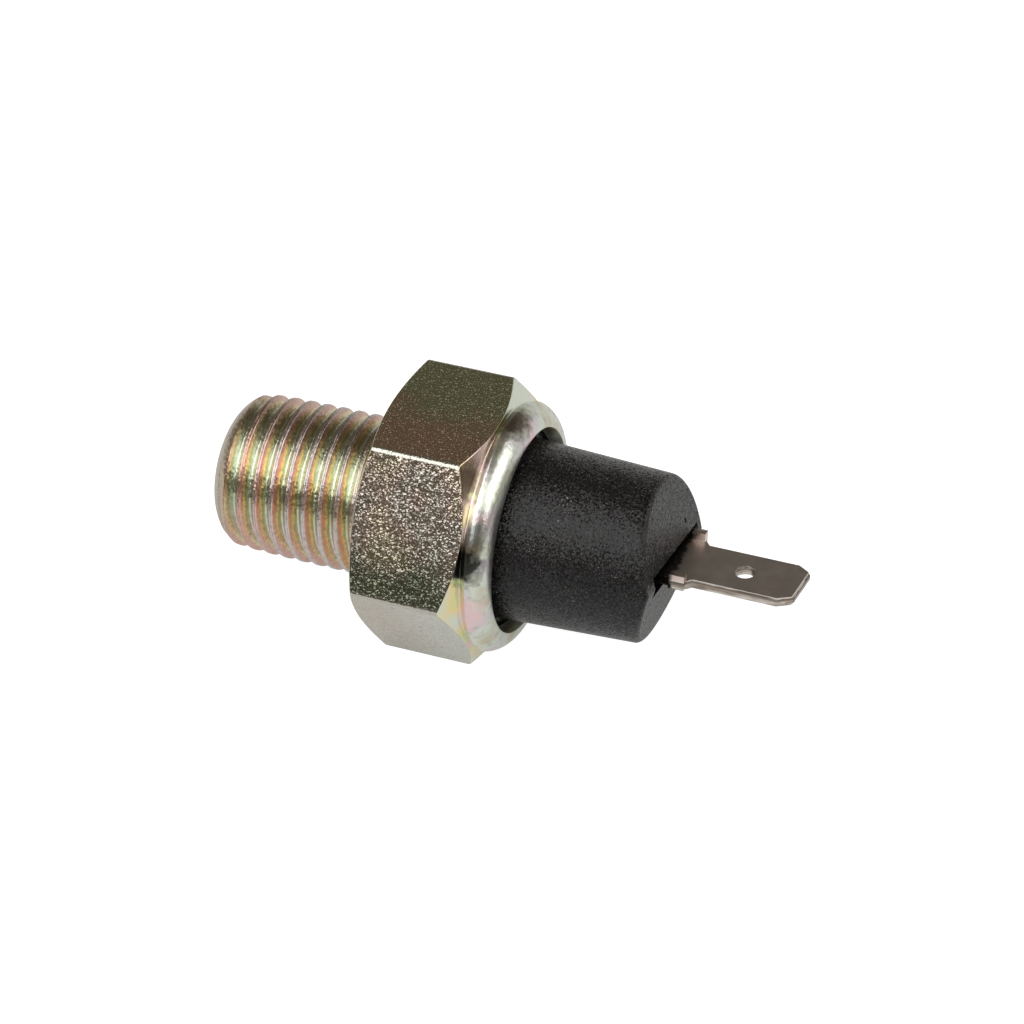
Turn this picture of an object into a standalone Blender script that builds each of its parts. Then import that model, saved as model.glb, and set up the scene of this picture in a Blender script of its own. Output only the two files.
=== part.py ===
"""An oil pressure sender, built as its maker assembles it.

The steel body is turned from hexagon bar: a threaded spigot with an oil port, the
spanner hexagon, and a thin collar that is rolled over the insulator's flange.
Inside, a diaphragm lifts a push pin, and the pin lifts a spring-loaded contact disc
off the earthed contact ring. The blade terminal comes out through the insulator.

Units are metres and +Z is up. The sender lies on one flat of its hexagon with its
axis along +X, from the oil end to the blade. Its origin is under the middle of its
length, on the surface it lies on.
"""

import math

import bmesh
import bpy

MM = 0.001

# Fits
SEAT_GAP = 0.3 * MM          # between two pieces that rest on each other
SIDE_GAP = 0.3 * MM          # around a piece in its bore
SLIDE_GAP = 0.15 * MM        # around the push pin in its guide
CONTACT_TRAVEL = 0.5 * MM    # how far oil pressure lifts the contact

# Body: hexagon
ACROSS_FLATS = 22.0 * MM
CORNER_LENGTH = 7.76 * MM    # length of the hexagon's full corners
CORNER_ROUNDING = 0.35 * MM
SEAT_RADIUS = 10.6 * MM      # flat face that meets the engine
SEAT_CHAMFER = 0.9 * MM      # axial length of the chamfer behind that face
COLLAR_CHAMFER = 1.19 * MM   # axial length of the chamfer on the collar's side

# Body: threaded spigot, M14 x 1.5
THREAD_DIAMETER = 13.84 * MM
THREAD_PITCH = 1.5 * MM
THREAD_DEPTH = 0.84 * MM
THREAD_LENGTH = 15.1 * MM
THREAD_START = -130.0        # degrees, turns the helix about the axis
THREAD_RUNOUT = 1.0 * MM     # length over which the thread grows shallow at the hexagon
ROOT_FILLET = 0.12 * MM      # between the spigot and the hexagon's seat
TIP_RADIUS = 4.7 * MM
TIP_LEAD = 1.7 * MM          # axial length of the rounded lead at the tip
TIP_BULGE = 0.22 * MM

# Body: oil port and chamber
PORT_RADIUS = 3.0 * MM
PORT_MOUTH = 0.3 * MM        # chamfer at the port's mouth
PORT_DEPTH = 12.4 * MM       # parallel part of the drilled port
DRILL_POINT = 118.0          # degrees
JET_RADIUS = 0.8 * MM        # small hole that damps the oil pulses
CHAMBER_FLOOR = 1.0 * MM     # from the hexagon's engine-side corners
CHAMBER_RADIUS = 9.55 * MM
OIL_RECESS_RADIUS = 6.0 * MM
OIL_RECESS_DEPTH = 0.4 * MM

# Body: rolled collar
COLLAR_ROOT_STEP = 0.02 * MM  # collar is this much smaller than the hexagon's flats
COLLAR_LENGTH = 2.2 * MM
COLLAR_CROWN = 0.4 * MM       # how far its rolled section bulges
LIP_RADIUS = 8.92 * MM        # opening at the lip's outer edge
LIP_UNDERCUT = 0.3 * MM       # opening narrows by this much below the edge
LIP_THICKNESS = 1.1 * MM

# Diaphragm and its clamp ring
DIAPHRAGM_THICKNESS = 0.4 * MM
DIAPHRAGM_WAVE = 0.35 * MM    # height of its one rolled wave
WAVE_RADIUS = 7.0 * MM
WAVE_HALF_WIDTH = 0.9 * MM
CLAMP_THICKNESS = 1.7 * MM
CLAMP_BORE = 5.7 * MM         # radius

# Push pin
PIN_HEAD_THICKNESS = 1.0 * MM
PIN_STEM_RADIUS = 1.9 * MM

# Contacts
RING_THICKNESS = 0.7 * MM
RING_BORE = 5.9 * MM          # radius
RING_BEAD = 0.25 * MM         # raised bead that the disc lands on
DISC_THICKNESS = 0.6 * MM
DISC_RADIUS = 7.3 * MM
DISC_BOSS_RADIUS = 2.5 * MM   # pressed-up centre that keeps the spring in place
DISC_BOSS_HEIGHT = 0.5 * MM

# Spring
SPRING_WIRE = 0.6 * MM        # diameter
SPRING_RADIUS = 3.35 * MM     # to the middle of the wire
SPRING_TURNS = 5.0
SPRING_DEAD_TURNS = 0.9       # closed turns at each end
SPRING_LENGTH = 5.6 * MM

# Spring seat
SPRING_SEAT_RADIUS = 4.6 * MM
SPRING_SEAT_THICKNESS = 0.5 * MM
SPRING_SEAT_HOLE = 1.4 * MM   # radius

# Sealing ring
SEAL_SECTION = 1.2 * MM       # diameter of its section
SEAL_GROOVE_WIDTH = 1.8 * MM

# Insulator
BARREL_RADIUS = 7.84 * MM     # where it leaves the flange
BARREL_DRAFT = 2.4            # degrees
RIDGE_HEIGHT = 14.6 * MM      # from the flange's outer face to the ridge
ROOF_SLOPE = 13.2             # degrees, on both sides of the ridge
BARREL_ROUNDING = 0.45 * MM
FLANGE_EDGE = 0.35 * MM
SKIRT_WALL = 1.15 * MM
SPRING_ROOM = 5.0 * MM        # radius of the bore that holds the spring
RECESS_LENGTH = 11.2 * MM     # recess along the ridge around the blade
RECESS_WIDTH = 1.9 * MM
RECESS_DEPTH = 0.9 * MM
RECESS_SHIFT = 0.45 * MM      # the recess lies a little off centre
BLADE_GAP = 0.3 * MM          # around the terminal in its slot

# Terminal, 6.3 x 0.8 blade
BLADE_WIDTH = 6.3 * MM
BLADE_THICKNESS = 0.8 * MM
BLADE_REACH = 11.05 * MM      # from the ridge to the tip
BLADE_HOLE_LENGTH = 1.7 * MM  # along the axis
BLADE_HOLE_WIDTH = 2.2 * MM
BLADE_HOLE_TO_TIP = 5.0 * MM
TIP_CHAMFER_LENGTH = 1.25 * MM
TIP_CHAMFER_WIDTH = 0.95 * MM
TIP_BEVEL = 0.22 * MM         # lead on the two faces at the tip
NECK_WIDTH = 7.3 * MM         # wide part through the insulator and just past the ridge
NECK_REACH = 2.0 * MM         # from the ridge to the end of the wide part
NECK_FILLET = 0.5 * MM
FOOT_WIDTH = 8.4 * MM
FOOT_LENGTH = 1.5 * MM
EAR_START = 0.45 * MM         # from the ridge to the ears
EAR_THICKNESS = 0.8 * MM
FAR_EAR_LENGTH = 1.2 * MM     # along the axis
FAR_EAR_HEIGHT = 1.45 * MM    # from the middle of the blade's thickness
FAR_EAR_OUT = 0.3 * MM        # how far its middle stands outside the strip's edge
NEAR_EAR_LENGTH = 1.5 * MM
NEAR_EAR_HEIGHT = 0.75 * MM
TERMINAL_TURN = -13.0         # degrees about the axis, from a hexagon flat
TERMINAL_SHIFT = 0.3 * MM     # the terminal lies a little off centre, across its width

# Smoothness
ROUND_STEPS = 48
INNER_STEPS = 36
RINGS_PER_PITCH = 6
WIRE_POINTS_PER_TURN = 14
SMOOTH_ANGLE = math.radians(35)

# Stations along the axis, from the hexagon's corners on the engine side
HEX_RADIUS = ACROSS_FLATS / 2
CORNER_RADIUS = ACROSS_FLATS / math.sqrt(3)
THREAD_RADIUS = THREAD_DIAMETER / 2
SEAT_STATION = -SEAT_CHAMFER
TIP_STATION = SEAT_STATION - THREAD_LENGTH
THREAD_END = SEAT_STATION - ROOT_FILLET
COLLAR_STATION = CORNER_LENGTH + COLLAR_CHAMFER
COLLAR_ROOT = HEX_RADIUS - COLLAR_ROOT_STEP
LIP_STATION = COLLAR_STATION + COLLAR_LENGTH
LIP_UNDERSIDE = LIP_STATION - LIP_THICKNESS
RECESS_STATION = CHAMBER_FLOOR - OIL_RECESS_DEPTH
PORT_FLOOR = TIP_STATION + PORT_DEPTH
PORT_POINT = PORT_FLOOR + (PORT_RADIUS - JET_RADIUS) / math.tan(math.radians(DRILL_POINT / 2))

STACK_RADIUS = CHAMBER_RADIUS - SIDE_GAP
DIAPHRAGM_STATION = CHAMBER_FLOOR + SEAT_GAP
CLAMP_STATION = DIAPHRAGM_STATION + DIAPHRAGM_THICKNESS + SEAT_GAP
CLAMP_TOP = CLAMP_STATION + CLAMP_THICKNESS
RING_STATION = CLAMP_TOP + SEAT_GAP
RING_TOP = RING_STATION + RING_THICKNESS
DISC_STATION = RING_TOP + RING_BEAD + SEAT_GAP
DISC_TOP = DISC_STATION + DISC_THICKNESS
PIN_TOP = DISC_STATION - SEAT_GAP
PIN_HEAD_RADIUS = CLAMP_BORE - SLIDE_GAP
SKIRT_STATION = RING_TOP + SEAT_GAP
FLANGE_RADIUS = STACK_RADIUS
FLANGE_TOP = LIP_UNDERSIDE - SEAT_GAP
RIDGE_STATION = FLANGE_TOP + RIDGE_HEIGHT
SPRING_STATION = DISC_TOP + SEAT_GAP
SPRING_SEAT_STATION = SPRING_STATION + SPRING_LENGTH + SEAT_GAP
FOOT_STATION = SPRING_SEAT_STATION + SPRING_SEAT_THICKNESS + SEAT_GAP
FOOT_TOP = FOOT_STATION + FOOT_LENGTH
BORE_CEILING = FOOT_TOP + SEAT_GAP
SKIRT_CEILING = DISC_TOP + CONTACT_TRAVEL + 2 * SEAT_GAP
PIN_FOOT = DIAPHRAGM_STATION + DIAPHRAGM_THICKNESS + SEAT_GAP
BLADE_TIP = RIDGE_STATION + BLADE_REACH
NECK_END = RIDGE_STATION + NECK_REACH

AXIS_SHIFT = -(TIP_STATION + BLADE_TIP) / 2
AXIS_HEIGHT = HEX_RADIUS


def clear_scene():
    """Remove whatever the file holds before the sender is built."""
    for obj in list(bpy.data.objects):
        bpy.data.objects.remove(obj, do_unlink=True)


def new_collection(name):
    collection = bpy.data.collections.new(name)
    bpy.context.scene.collection.children.link(collection)
    return collection


def new_material(name, color, roughness, metallic):
    material = bpy.data.materials.new(name)
    material.use_nodes = True
    shader = material.node_tree.nodes["Principled BSDF"]
    shader.inputs["Base Color"].default_value = (*color, 1.0)
    shader.inputs["Roughness"].default_value = roughness
    shader.inputs["Metallic"].default_value = metallic
    return material


def arc_points(start, end, bulge, steps):
    """Points of a circular arc that leaves its chord by the given bulge, to its left."""
    (s0, r0), (s1, r1) = start, end
    chord = math.hypot(s1 - s0, r1 - r0)
    radius = (chord * chord / 4 + bulge * bulge) / (2 * bulge)
    half = math.asin(chord / 2 / radius)
    along = ((s1 - s0) / chord, (r1 - r0) / chord)
    across = (-along[1], along[0])
    points = []
    for step in range(steps + 1):
        angle = half * (2 * step / steps - 1)
        run = chord / 2 + radius * math.sin(angle)
        rise = radius * math.cos(angle) - (radius - bulge)
        points.append((s0 + along[0] * run + across[0] * rise, r0 + along[1] * run + across[1] * rise))
    return points


def link_piece(name, mesh, material, collection, parent):
    piece = bpy.data.objects.new(name, mesh)
    collection.objects.link(piece)
    piece.parent = parent
    if material:
        piece.data.materials.append(material)
    return piece


def make_cutter(piece):
    piece.hide_render = True
    piece.display_type = "WIRE"
    return piece


def turn(name, profile, material, collection, parent, steps=ROUND_STEPS, ring=True):
    """Turn a section about the axis. Its points are (station, radius), down the outer side.

    A ring's section is a closed loop. Any other section starts and ends on the axis.
    """
    mesh = bpy.data.meshes.new(name)
    count = len(profile)
    edges = [(i, i + 1) for i in range(count - 1)]
    if ring:
        edges.append((count - 1, 0))
    mesh.from_pydata([(radius, 0.0, station) for station, radius in profile], edges, [])
    piece = link_piece(name, mesh, material, collection, parent)
    piece.rotation_euler = (0.0, math.radians(90), 0.0)
    screw = piece.modifiers.new("turn", "SCREW")
    screw.axis = "Z"
    screw.angle = math.radians(360)
    screw.steps = steps
    screw.render_steps = steps
    screw.use_merge_vertices = True
    screw.merge_threshold = 0.000001
    screw.use_smooth_shade = True
    return piece


def bake(piece):
    """Replace a piece's modifiers or curve with the mesh they make."""
    graph = bpy.context.evaluated_depsgraph_get()
    mesh = bpy.data.meshes.new_from_object(piece.evaluated_get(graph))
    mesh.name = piece.name
    if piece.type == "MESH":
        piece.modifiers.clear()
        piece.data = mesh
        return piece
    solid = bpy.data.objects.new(piece.name, mesh)
    for collection in piece.users_collection:
        collection.objects.link(solid)
    solid.parent = piece.parent
    solid.matrix_local = piece.matrix_local
    name = piece.name
    bpy.data.objects.remove(piece, do_unlink=True)
    solid.name = name
    bm = bmesh.new()
    bm.from_mesh(mesh)
    bmesh.ops.remove_doubles(bm, verts=bm.verts, dist=0.000001)
    bm.to_mesh(mesh)
    bm.free()
    return solid


def cut(piece, cutter, operation="DIFFERENCE"):
    boolean = piece.modifiers.new(cutter.name, "BOOLEAN")
    boolean.object = cutter
    boolean.operation = operation
    boolean.solver = "EXACT"
    return boolean


def shade(piece):
    piece.data.shade_smooth()
    piece.data.set_sharp_from_angle(angle=SMOOTH_ANGLE)


def box(name, size, center, collection, parent, turn_about_axis=0.0):
    """A block whose size and middle are (along the axis, across, up), turned about the axis."""
    mesh = bpy.data.meshes.new(name)
    bm = bmesh.new()
    bmesh.ops.create_cube(bm, size=1.0)
    bmesh.ops.scale(bm, vec=size, verts=bm.verts)
    bmesh.ops.translate(bm, vec=center, verts=bm.verts)
    bm.to_mesh(mesh)
    bm.free()
    block = link_piece(name, mesh, None, collection, parent)
    block.rotation_euler = (math.radians(turn_about_axis), 0.0, 0.0)
    return make_cutter(block)


def lead_radius(station):
    """Radius of the spigot's outside before the thread is cut, at a station near the tip."""
    if station >= TIP_STATION + TIP_LEAD:
        return THREAD_RADIUS
    lead = arc_points((TIP_STATION, TIP_RADIUS), (TIP_STATION + TIP_LEAD, THREAD_RADIUS), TIP_BULGE, 12)
    for (s0, r0), (s1, r1) in zip(lead, lead[1:]):
        if station <= s1:
            return r0 + (r1 - r0) * (station - s0) / (s1 - s0)
    return THREAD_RADIUS


def body_profile():
    """Half section of the body, from the lip down the outside to the tip and back up inside."""
    crown = arc_points((COLLAR_STATION, COLLAR_ROOT), (LIP_STATION, LIP_RADIUS), COLLAR_CROWN, 7)
    stock = CORNER_RADIUS + CORNER_ROUNDING
    chamfer_end = CORNER_LENGTH - CORNER_ROUNDING * COLLAR_CHAMFER / (CORNER_RADIUS - COLLAR_ROOT)
    chamfer_start = CORNER_ROUNDING * SEAT_CHAMFER / (CORNER_RADIUS - SEAT_RADIUS)
    outside = list(reversed(crown))
    outside += [(chamfer_end, stock), (chamfer_start, stock), (SEAT_STATION, SEAT_RADIUS)]
    outside.append((SEAT_STATION, THREAD_RADIUS + ROOT_FILLET))
    rings = round(THREAD_LENGTH / THREAD_PITCH * RINGS_PER_PITCH)
    for ring in range(rings + 1):
        station = THREAD_END + (TIP_STATION - THREAD_END) * ring / rings
        outside.append((station, lead_radius(station)))
    inside = [
        (TIP_STATION, PORT_RADIUS + PORT_MOUTH),
        (TIP_STATION + PORT_MOUTH, PORT_RADIUS),
        (PORT_FLOOR, PORT_RADIUS),
        (PORT_POINT, JET_RADIUS),
        (RECESS_STATION, JET_RADIUS),
        (RECESS_STATION, OIL_RECESS_RADIUS),
        (CHAMBER_FLOOR, OIL_RECESS_RADIUS),
        (CHAMBER_FLOOR, CHAMBER_RADIUS),
        (LIP_UNDERSIDE, CHAMBER_RADIUS),
        (LIP_UNDERSIDE, LIP_RADIUS - LIP_UNDERCUT),
    ]
    return outside + inside


def cut_thread(body):
    """Sink a right-hand helix into the spigot: each point goes in by its place in the pitch."""
    wall_middle = (PORT_RADIUS + PORT_MOUTH + TIP_RADIUS) / 2
    for vertex in body.data.vertices:
        run = THREAD_END - vertex.co.z
        radius = math.hypot(vertex.co.x, vertex.co.y)
        if run < -ROOT_FILLET / 2 or radius < wall_middle:
            continue
        turned = math.atan2(vertex.co.y, vertex.co.x) - math.radians(THREAD_START)
        phase = math.tau * (vertex.co.z - SEAT_STATION) / THREAD_PITCH - turned
        depth = THREAD_DEPTH * min(1.0, max(0.0, run / THREAD_RUNOUT))
        scale = min(radius, THREAD_RADIUS - depth * (1 - math.cos(phase)) / 2) / radius
        vertex.co.x *= scale
        vertex.co.y *= scale


def make_body(material, parts, cutters, axis):
    """Turn the blank, cut it back to the hexagon bar's flats, then cut the thread."""
    body = turn("body", body_profile(), material, parts, axis)
    length = BLADE_TIP - TIP_STATION
    mesh = bpy.data.meshes.new("hexagon_bar")
    bm = bmesh.new()
    bmesh.ops.create_cone(
        bm, cap_ends=True, segments=6, radius1=CORNER_RADIUS, radius2=CORNER_RADIUS, depth=2 * length
    )
    ridges = [edge for edge in bm.edges if abs(edge.verts[0].co.z - edge.verts[1].co.z) > length]
    bmesh.ops.bevel(bm, geom=ridges, offset=CORNER_ROUNDING, segments=2, profile=0.5, affect="EDGES")
    bm.to_mesh(mesh)
    bm.free()
    bar = make_cutter(link_piece("hexagon_bar", mesh, None, cutters, axis))
    bar.rotation_euler = body.rotation_euler
    cut(body, bar, "INTERSECT")
    bake(body)
    cut_thread(body)
    shade(body)
    return body


def make_diaphragm(material, parts, axis):
    """A thin sheet with one rolled wave, so that its middle can lift without stretching."""
    low, high = DIAPHRAGM_STATION, DIAPHRAGM_STATION + DIAPHRAGM_THICKNESS
    outer, inner = WAVE_RADIUS + WAVE_HALF_WIDTH, WAVE_RADIUS - WAVE_HALF_WIDTH
    top = arc_points((high, outer), (high, inner), DIAPHRAGM_WAVE, 4)
    bottom = [(station - DIAPHRAGM_THICKNESS, radius) for station, radius in top]
    profile = [(high, 0.0)] + list(reversed(top)) + [(high, STACK_RADIUS)]
    profile += [(low, STACK_RADIUS)] + bottom + [(low, 0.0)]
    return turn("diaphragm", profile, material, parts, axis, INNER_STEPS, ring=False)


def make_clamp_ring(material, parts, axis):
    """Holds the diaphragm's rim down and guides the push pin's head."""
    relief_top = CLAMP_STATION + DIAPHRAGM_WAVE
    relief_outer = WAVE_RADIUS + WAVE_HALF_WIDTH + SIDE_GAP
    profile = [
        (CLAMP_TOP, STACK_RADIUS),
        (CLAMP_STATION, STACK_RADIUS),
        (CLAMP_STATION, relief_outer),
        (relief_top, relief_outer - DIAPHRAGM_WAVE),
        (relief_top, CLAMP_BORE),
        (CLAMP_TOP, CLAMP_BORE),
    ]
    return turn("clamp_ring", profile, material, parts, axis, INNER_STEPS)


def make_push_pin(material, parts, axis):
    """Moulded pin: its broad head rests on the diaphragm and its stem pushes the disc."""
    foot = PIN_FOOT
    neck = PIN_FOOT + PIN_HEAD_THICKNESS
    profile = [
        (PIN_TOP, 0.0),
        (PIN_TOP, PIN_STEM_RADIUS),
        (neck, PIN_STEM_RADIUS),
        (neck, PIN_HEAD_RADIUS),
        (foot, PIN_HEAD_RADIUS),
        (foot, 0.0),
    ]
    return turn("push_pin", profile, material, parts, axis, INNER_STEPS, ring=False)


def make_contact_ring(material, parts, axis):
    """Earthed ring on the body, with a raised bead that the disc lands on."""
    bead = arc_points((RING_TOP, DISC_RADIUS), (RING_TOP, RING_BORE), RING_BEAD, 6)
    profile = [(RING_TOP, STACK_RADIUS), (RING_STATION, STACK_RADIUS), (RING_STATION, RING_BORE)]
    profile += list(reversed(bead))
    return turn("contact_ring", profile, material, parts, axis, INNER_STEPS)


def make_contact_disc(material, parts, axis):
    """Pressed disc whose raised middle keeps the spring centred."""
    slope = DISC_BOSS_HEIGHT / 2
    profile = [
        (DISC_TOP + DISC_BOSS_HEIGHT, 0.0),
        (DISC_TOP + DISC_BOSS_HEIGHT, DISC_BOSS_RADIUS - slope),
        (DISC_TOP, DISC_BOSS_RADIUS),
        (DISC_TOP, DISC_RADIUS),
        (DISC_STATION, DISC_RADIUS),
        (DISC_STATION, 0.0),
    ]
    return turn("contact_disc", profile, material, parts, axis, INNER_STEPS, ring=False)


def spring_station(turns):
    """Station of the wire's middle after so many turns: closed ends, open middle."""
    closed_pitch = SPRING_WIRE * 1.1
    free = SPRING_LENGTH - SPRING_WIRE - 2 * SPRING_DEAD_TURNS * closed_pitch
    open_pitch = free / (SPRING_TURNS - 2 * SPRING_DEAD_TURNS)
    start = SPRING_STATION + SPRING_WIRE / 2
    if turns <= SPRING_DEAD_TURNS:
        return start + turns * closed_pitch
    if turns <= SPRING_TURNS - SPRING_DEAD_TURNS:
        return start + SPRING_DEAD_TURNS * closed_pitch + (turns - SPRING_DEAD_TURNS) * open_pitch
    return SPRING_STATION + SPRING_LENGTH - SPRING_WIRE / 2 - (SPRING_TURNS - turns) * closed_pitch


def make_spring(material, parts, axis):
    """Compression spring wound from round wire."""
    curve = bpy.data.curves.new("spring", "CURVE")
    curve.dimensions = "3D"
    curve.bevel_depth = SPRING_WIRE / 2
    curve.bevel_resolution = 2
    curve.use_fill_caps = True
    spline = curve.splines.new("POLY")
    count = round(SPRING_TURNS * WIRE_POINTS_PER_TURN)
    spline.points.add(count)
    for index, point in enumerate(spline.points):
        turns = SPRING_TURNS * index / count
        angle = math.tau * turns
        place = (spring_station(turns), SPRING_RADIUS * math.cos(angle), SPRING_RADIUS * math.sin(angle))
        point.co = (*place, 1.0)
    wire = link_piece("spring", curve, material, parts, axis)
    spring = bake(wire)
    shade(spring)
    return spring


def make_spring_seat(material, parts, axis):
    """Washer that carries the spring's load into the terminal's foot."""
    top = SPRING_SEAT_STATION + SPRING_SEAT_THICKNESS
    profile = [
        (top, SPRING_SEAT_RADIUS),
        (SPRING_SEAT_STATION, SPRING_SEAT_RADIUS),
        (SPRING_SEAT_STATION, SPRING_SEAT_HOLE),
        (top, SPRING_SEAT_HOLE),
    ]
    return turn("spring_seat", profile, material, parts, axis, INNER_STEPS)


def groove_station():
    """Middle of the groove that holds the sealing ring in the insulator's flange."""
    return (SKIRT_CEILING + FLANGE_TOP) / 2


def make_sealing_ring(material, parts, axis):
    """Rubber ring between the insulator's flange and the body's bore."""
    section = SEAL_SECTION / 2
    middle = FLANGE_RADIUS - section
    profile = []
    for step in range(12):
        angle = math.tau * step / 12
        profile.append((groove_station() + section * math.cos(angle), middle + section * math.sin(angle)))
    return turn("sealing_ring", profile, material, parts, axis, INNER_STEPS)


def barrel_radius(station):
    return BARREL_RADIUS - (station - FLANGE_TOP) * math.tan(math.radians(BARREL_DRAFT))


def roof_cutter(side, cutters, axis):
    """Block whose underside is one slope of the barrel's roof-shaped end."""
    reach = 4 * BARREL_RADIUS
    name = "roof_above" if side > 0 else "roof_below"
    block = box(name, (reach, reach, reach), (reach / 2, 0.0, 0.0), cutters, axis)
    block.location = (RIDGE_STATION, 0.0, 0.0)
    block.rotation_mode = "YXZ"
    block.rotation_euler = (math.radians(TERMINAL_TURN), -side * math.radians(ROOF_SLOPE), 0.0)
    return block


def make_insulator(material, parts, cutters, axis):
    """Moulded cap: a drafted barrel with a shallow roof, a flange, a skirt and a spring bore."""
    crown = RIDGE_STATION + SEAT_GAP
    root = FLANGE_TOP - 2 * BARREL_ROUNDING
    barrel = [
        (crown, 0.0),
        (crown, barrel_radius(crown)),
        (root, barrel_radius(root)),
        (root, 0.0),
    ]
    insulator = turn("insulator", barrel, material, parts, axis, ring=False)
    cut(insulator, roof_cutter(1, cutters, axis))
    cut(insulator, roof_cutter(-1, cutters, axis))
    rounding = insulator.modifiers.new("rounding", "BEVEL")
    rounding.width = BARREL_ROUNDING
    rounding.segments = 3
    rounding.limit_method = "ANGLE"
    rounding.angle_limit = math.radians(50)

    groove = groove_station()
    half_groove = SEAL_GROOVE_WIDTH / 2
    groove_floor = FLANGE_RADIUS - SEAL_SECTION - SIDE_GAP
    rim = [
        (FLANGE_TOP, 0.0),
        (FLANGE_TOP, FLANGE_RADIUS - FLANGE_EDGE),
        (FLANGE_TOP - FLANGE_EDGE, FLANGE_RADIUS),
        (groove + half_groove, FLANGE_RADIUS),
        (groove + half_groove, groove_floor),
        (groove - half_groove, groove_floor),
        (groove - half_groove, FLANGE_RADIUS),
        (SKIRT_STATION, FLANGE_RADIUS),
        (SKIRT_STATION, 0.0),
    ]
    flange = make_cutter(turn("flange", rim, None, cutters, axis, ring=False))
    cut(insulator, flange, "UNION")

    below = SKIRT_STATION - SEAT_GAP
    room = [
        (BORE_CEILING, 0.0),
        (BORE_CEILING, SPRING_ROOM),
        (SKIRT_CEILING, SPRING_ROOM),
        (SKIRT_CEILING, FLANGE_RADIUS - SKIRT_WALL),
        (below, FLANGE_RADIUS - SKIRT_WALL),
        (below, 0.0),
    ]
    cut(insulator, make_cutter(turn("spring_bore", room, None, cutters, axis, ring=False)))

    recess_size = (2 * RECESS_DEPTH, RECESS_LENGTH, RECESS_WIDTH)
    recess_place = (RIDGE_STATION, RECESS_SHIFT, 0.0)
    cut(insulator, box("recess", recess_size, recess_place, cutters, axis, TERMINAL_TURN))
    slot_length = RIDGE_STATION - BORE_CEILING + 2 * SEAT_GAP
    slot_size = (slot_length, NECK_WIDTH + 2 * BLADE_GAP, BLADE_THICKNESS + 2 * BLADE_GAP)
    slot_place = (BORE_CEILING - SEAT_GAP + slot_length / 2, TERMINAL_SHIFT, 0.0)
    cut(insulator, box("blade_slot", slot_size, slot_place, cutters, axis, TERMINAL_TURN))
    bake(insulator)
    shade(insulator)
    return insulator


def terminal_outline():
    """One side of the stamped strip, from the foot to the tip, as (along, across) points."""
    half, neck, foot = BLADE_WIDTH / 2, NECK_WIDTH / 2, FOOT_WIDTH / 2
    step = neck - half
    fillet = []
    for index in range(5):
        angle = math.radians(90) * index / 4
        fillet.append((NECK_END + NECK_FILLET * (1 - math.cos(angle)), neck - step * math.sin(angle)))
    side = [(FOOT_STATION, foot), (FOOT_TOP, foot), (FOOT_TOP, neck)] + fillet
    side += [(BLADE_TIP - TIP_CHAMFER_LENGTH, half), (BLADE_TIP, half - TIP_CHAMFER_WIDTH)]
    return side


def add_loop(curve, points):
    spline = curve.splines.new("POLY")
    spline.points.add(len(points) - 1)
    for point, (along, across) in zip(spline.points, points):
        point.co = (along, across, 0.0, 1.0)
    spline.use_cyclic_u = True


def make_terminal(material, parts, cutters, axis):
    """Stamped blade: its foot seats inside the insulator and two ears are bent up outside."""
    curve = bpy.data.curves.new("terminal", "CURVE")
    curve.dimensions = "2D"
    curve.fill_mode = "BOTH"
    curve.extrude = BLADE_THICKNESS / 2
    side = terminal_outline()
    add_loop(curve, side + [(along, -across) for along, across in reversed(side)])
    hole = []
    for index in range(24):
        angle = math.tau * index / 24
        along = BLADE_TIP - BLADE_HOLE_TO_TIP + BLADE_HOLE_LENGTH / 2 * math.cos(angle)
        hole.append((along, BLADE_HOLE_WIDTH / 2 * math.sin(angle)))
    add_loop(curve, hole)
    strip = link_piece("terminal", curve, material, parts, axis)
    turned = math.radians(TERMINAL_TURN)
    strip.rotation_euler = (turned, 0.0, 0.0)
    strip.location = (0.0, TERMINAL_SHIFT * math.cos(turned), TERMINAL_SHIFT * math.sin(turned))
    terminal = bake(strip)

    bm = bmesh.new()
    bm.from_mesh(terminal.data)
    end = BLADE_TIP - TIP_BEVEL / 2
    level = BLADE_THICKNESS / 4
    leads = [
        edge
        for edge in bm.edges
        if all(vertex.co.x > end for vertex in edge.verts)
        and abs(edge.verts[0].co.z - edge.verts[1].co.z) < level
        and edge.calc_face_angle(0.0) > math.radians(45)
    ]
    bmesh.ops.bevel(bm, geom=leads, offset=TIP_BEVEL, segments=1, profile=0.5, affect="EDGES")
    bm.to_mesh(terminal.data)
    bm.free()

    drop = BLADE_THICKNESS / 2
    for name, across, length, height in (
        ("far_ear", TERMINAL_SHIFT + NECK_WIDTH / 2 + FAR_EAR_OUT, FAR_EAR_LENGTH, FAR_EAR_HEIGHT),
        ("near_ear", TERMINAL_SHIFT - NECK_WIDTH / 2, NEAR_EAR_LENGTH, NEAR_EAR_HEIGHT),
    ):
        middle = (RIDGE_STATION + EAR_START + length / 2, across, (height - drop) / 2)
        ear = box(name, (length, EAR_THICKNESS, height + drop), middle, cutters, axis, TERMINAL_TURN)
        cut(terminal, ear, "UNION")
    bake(terminal)
    shade(terminal)
    return terminal


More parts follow.
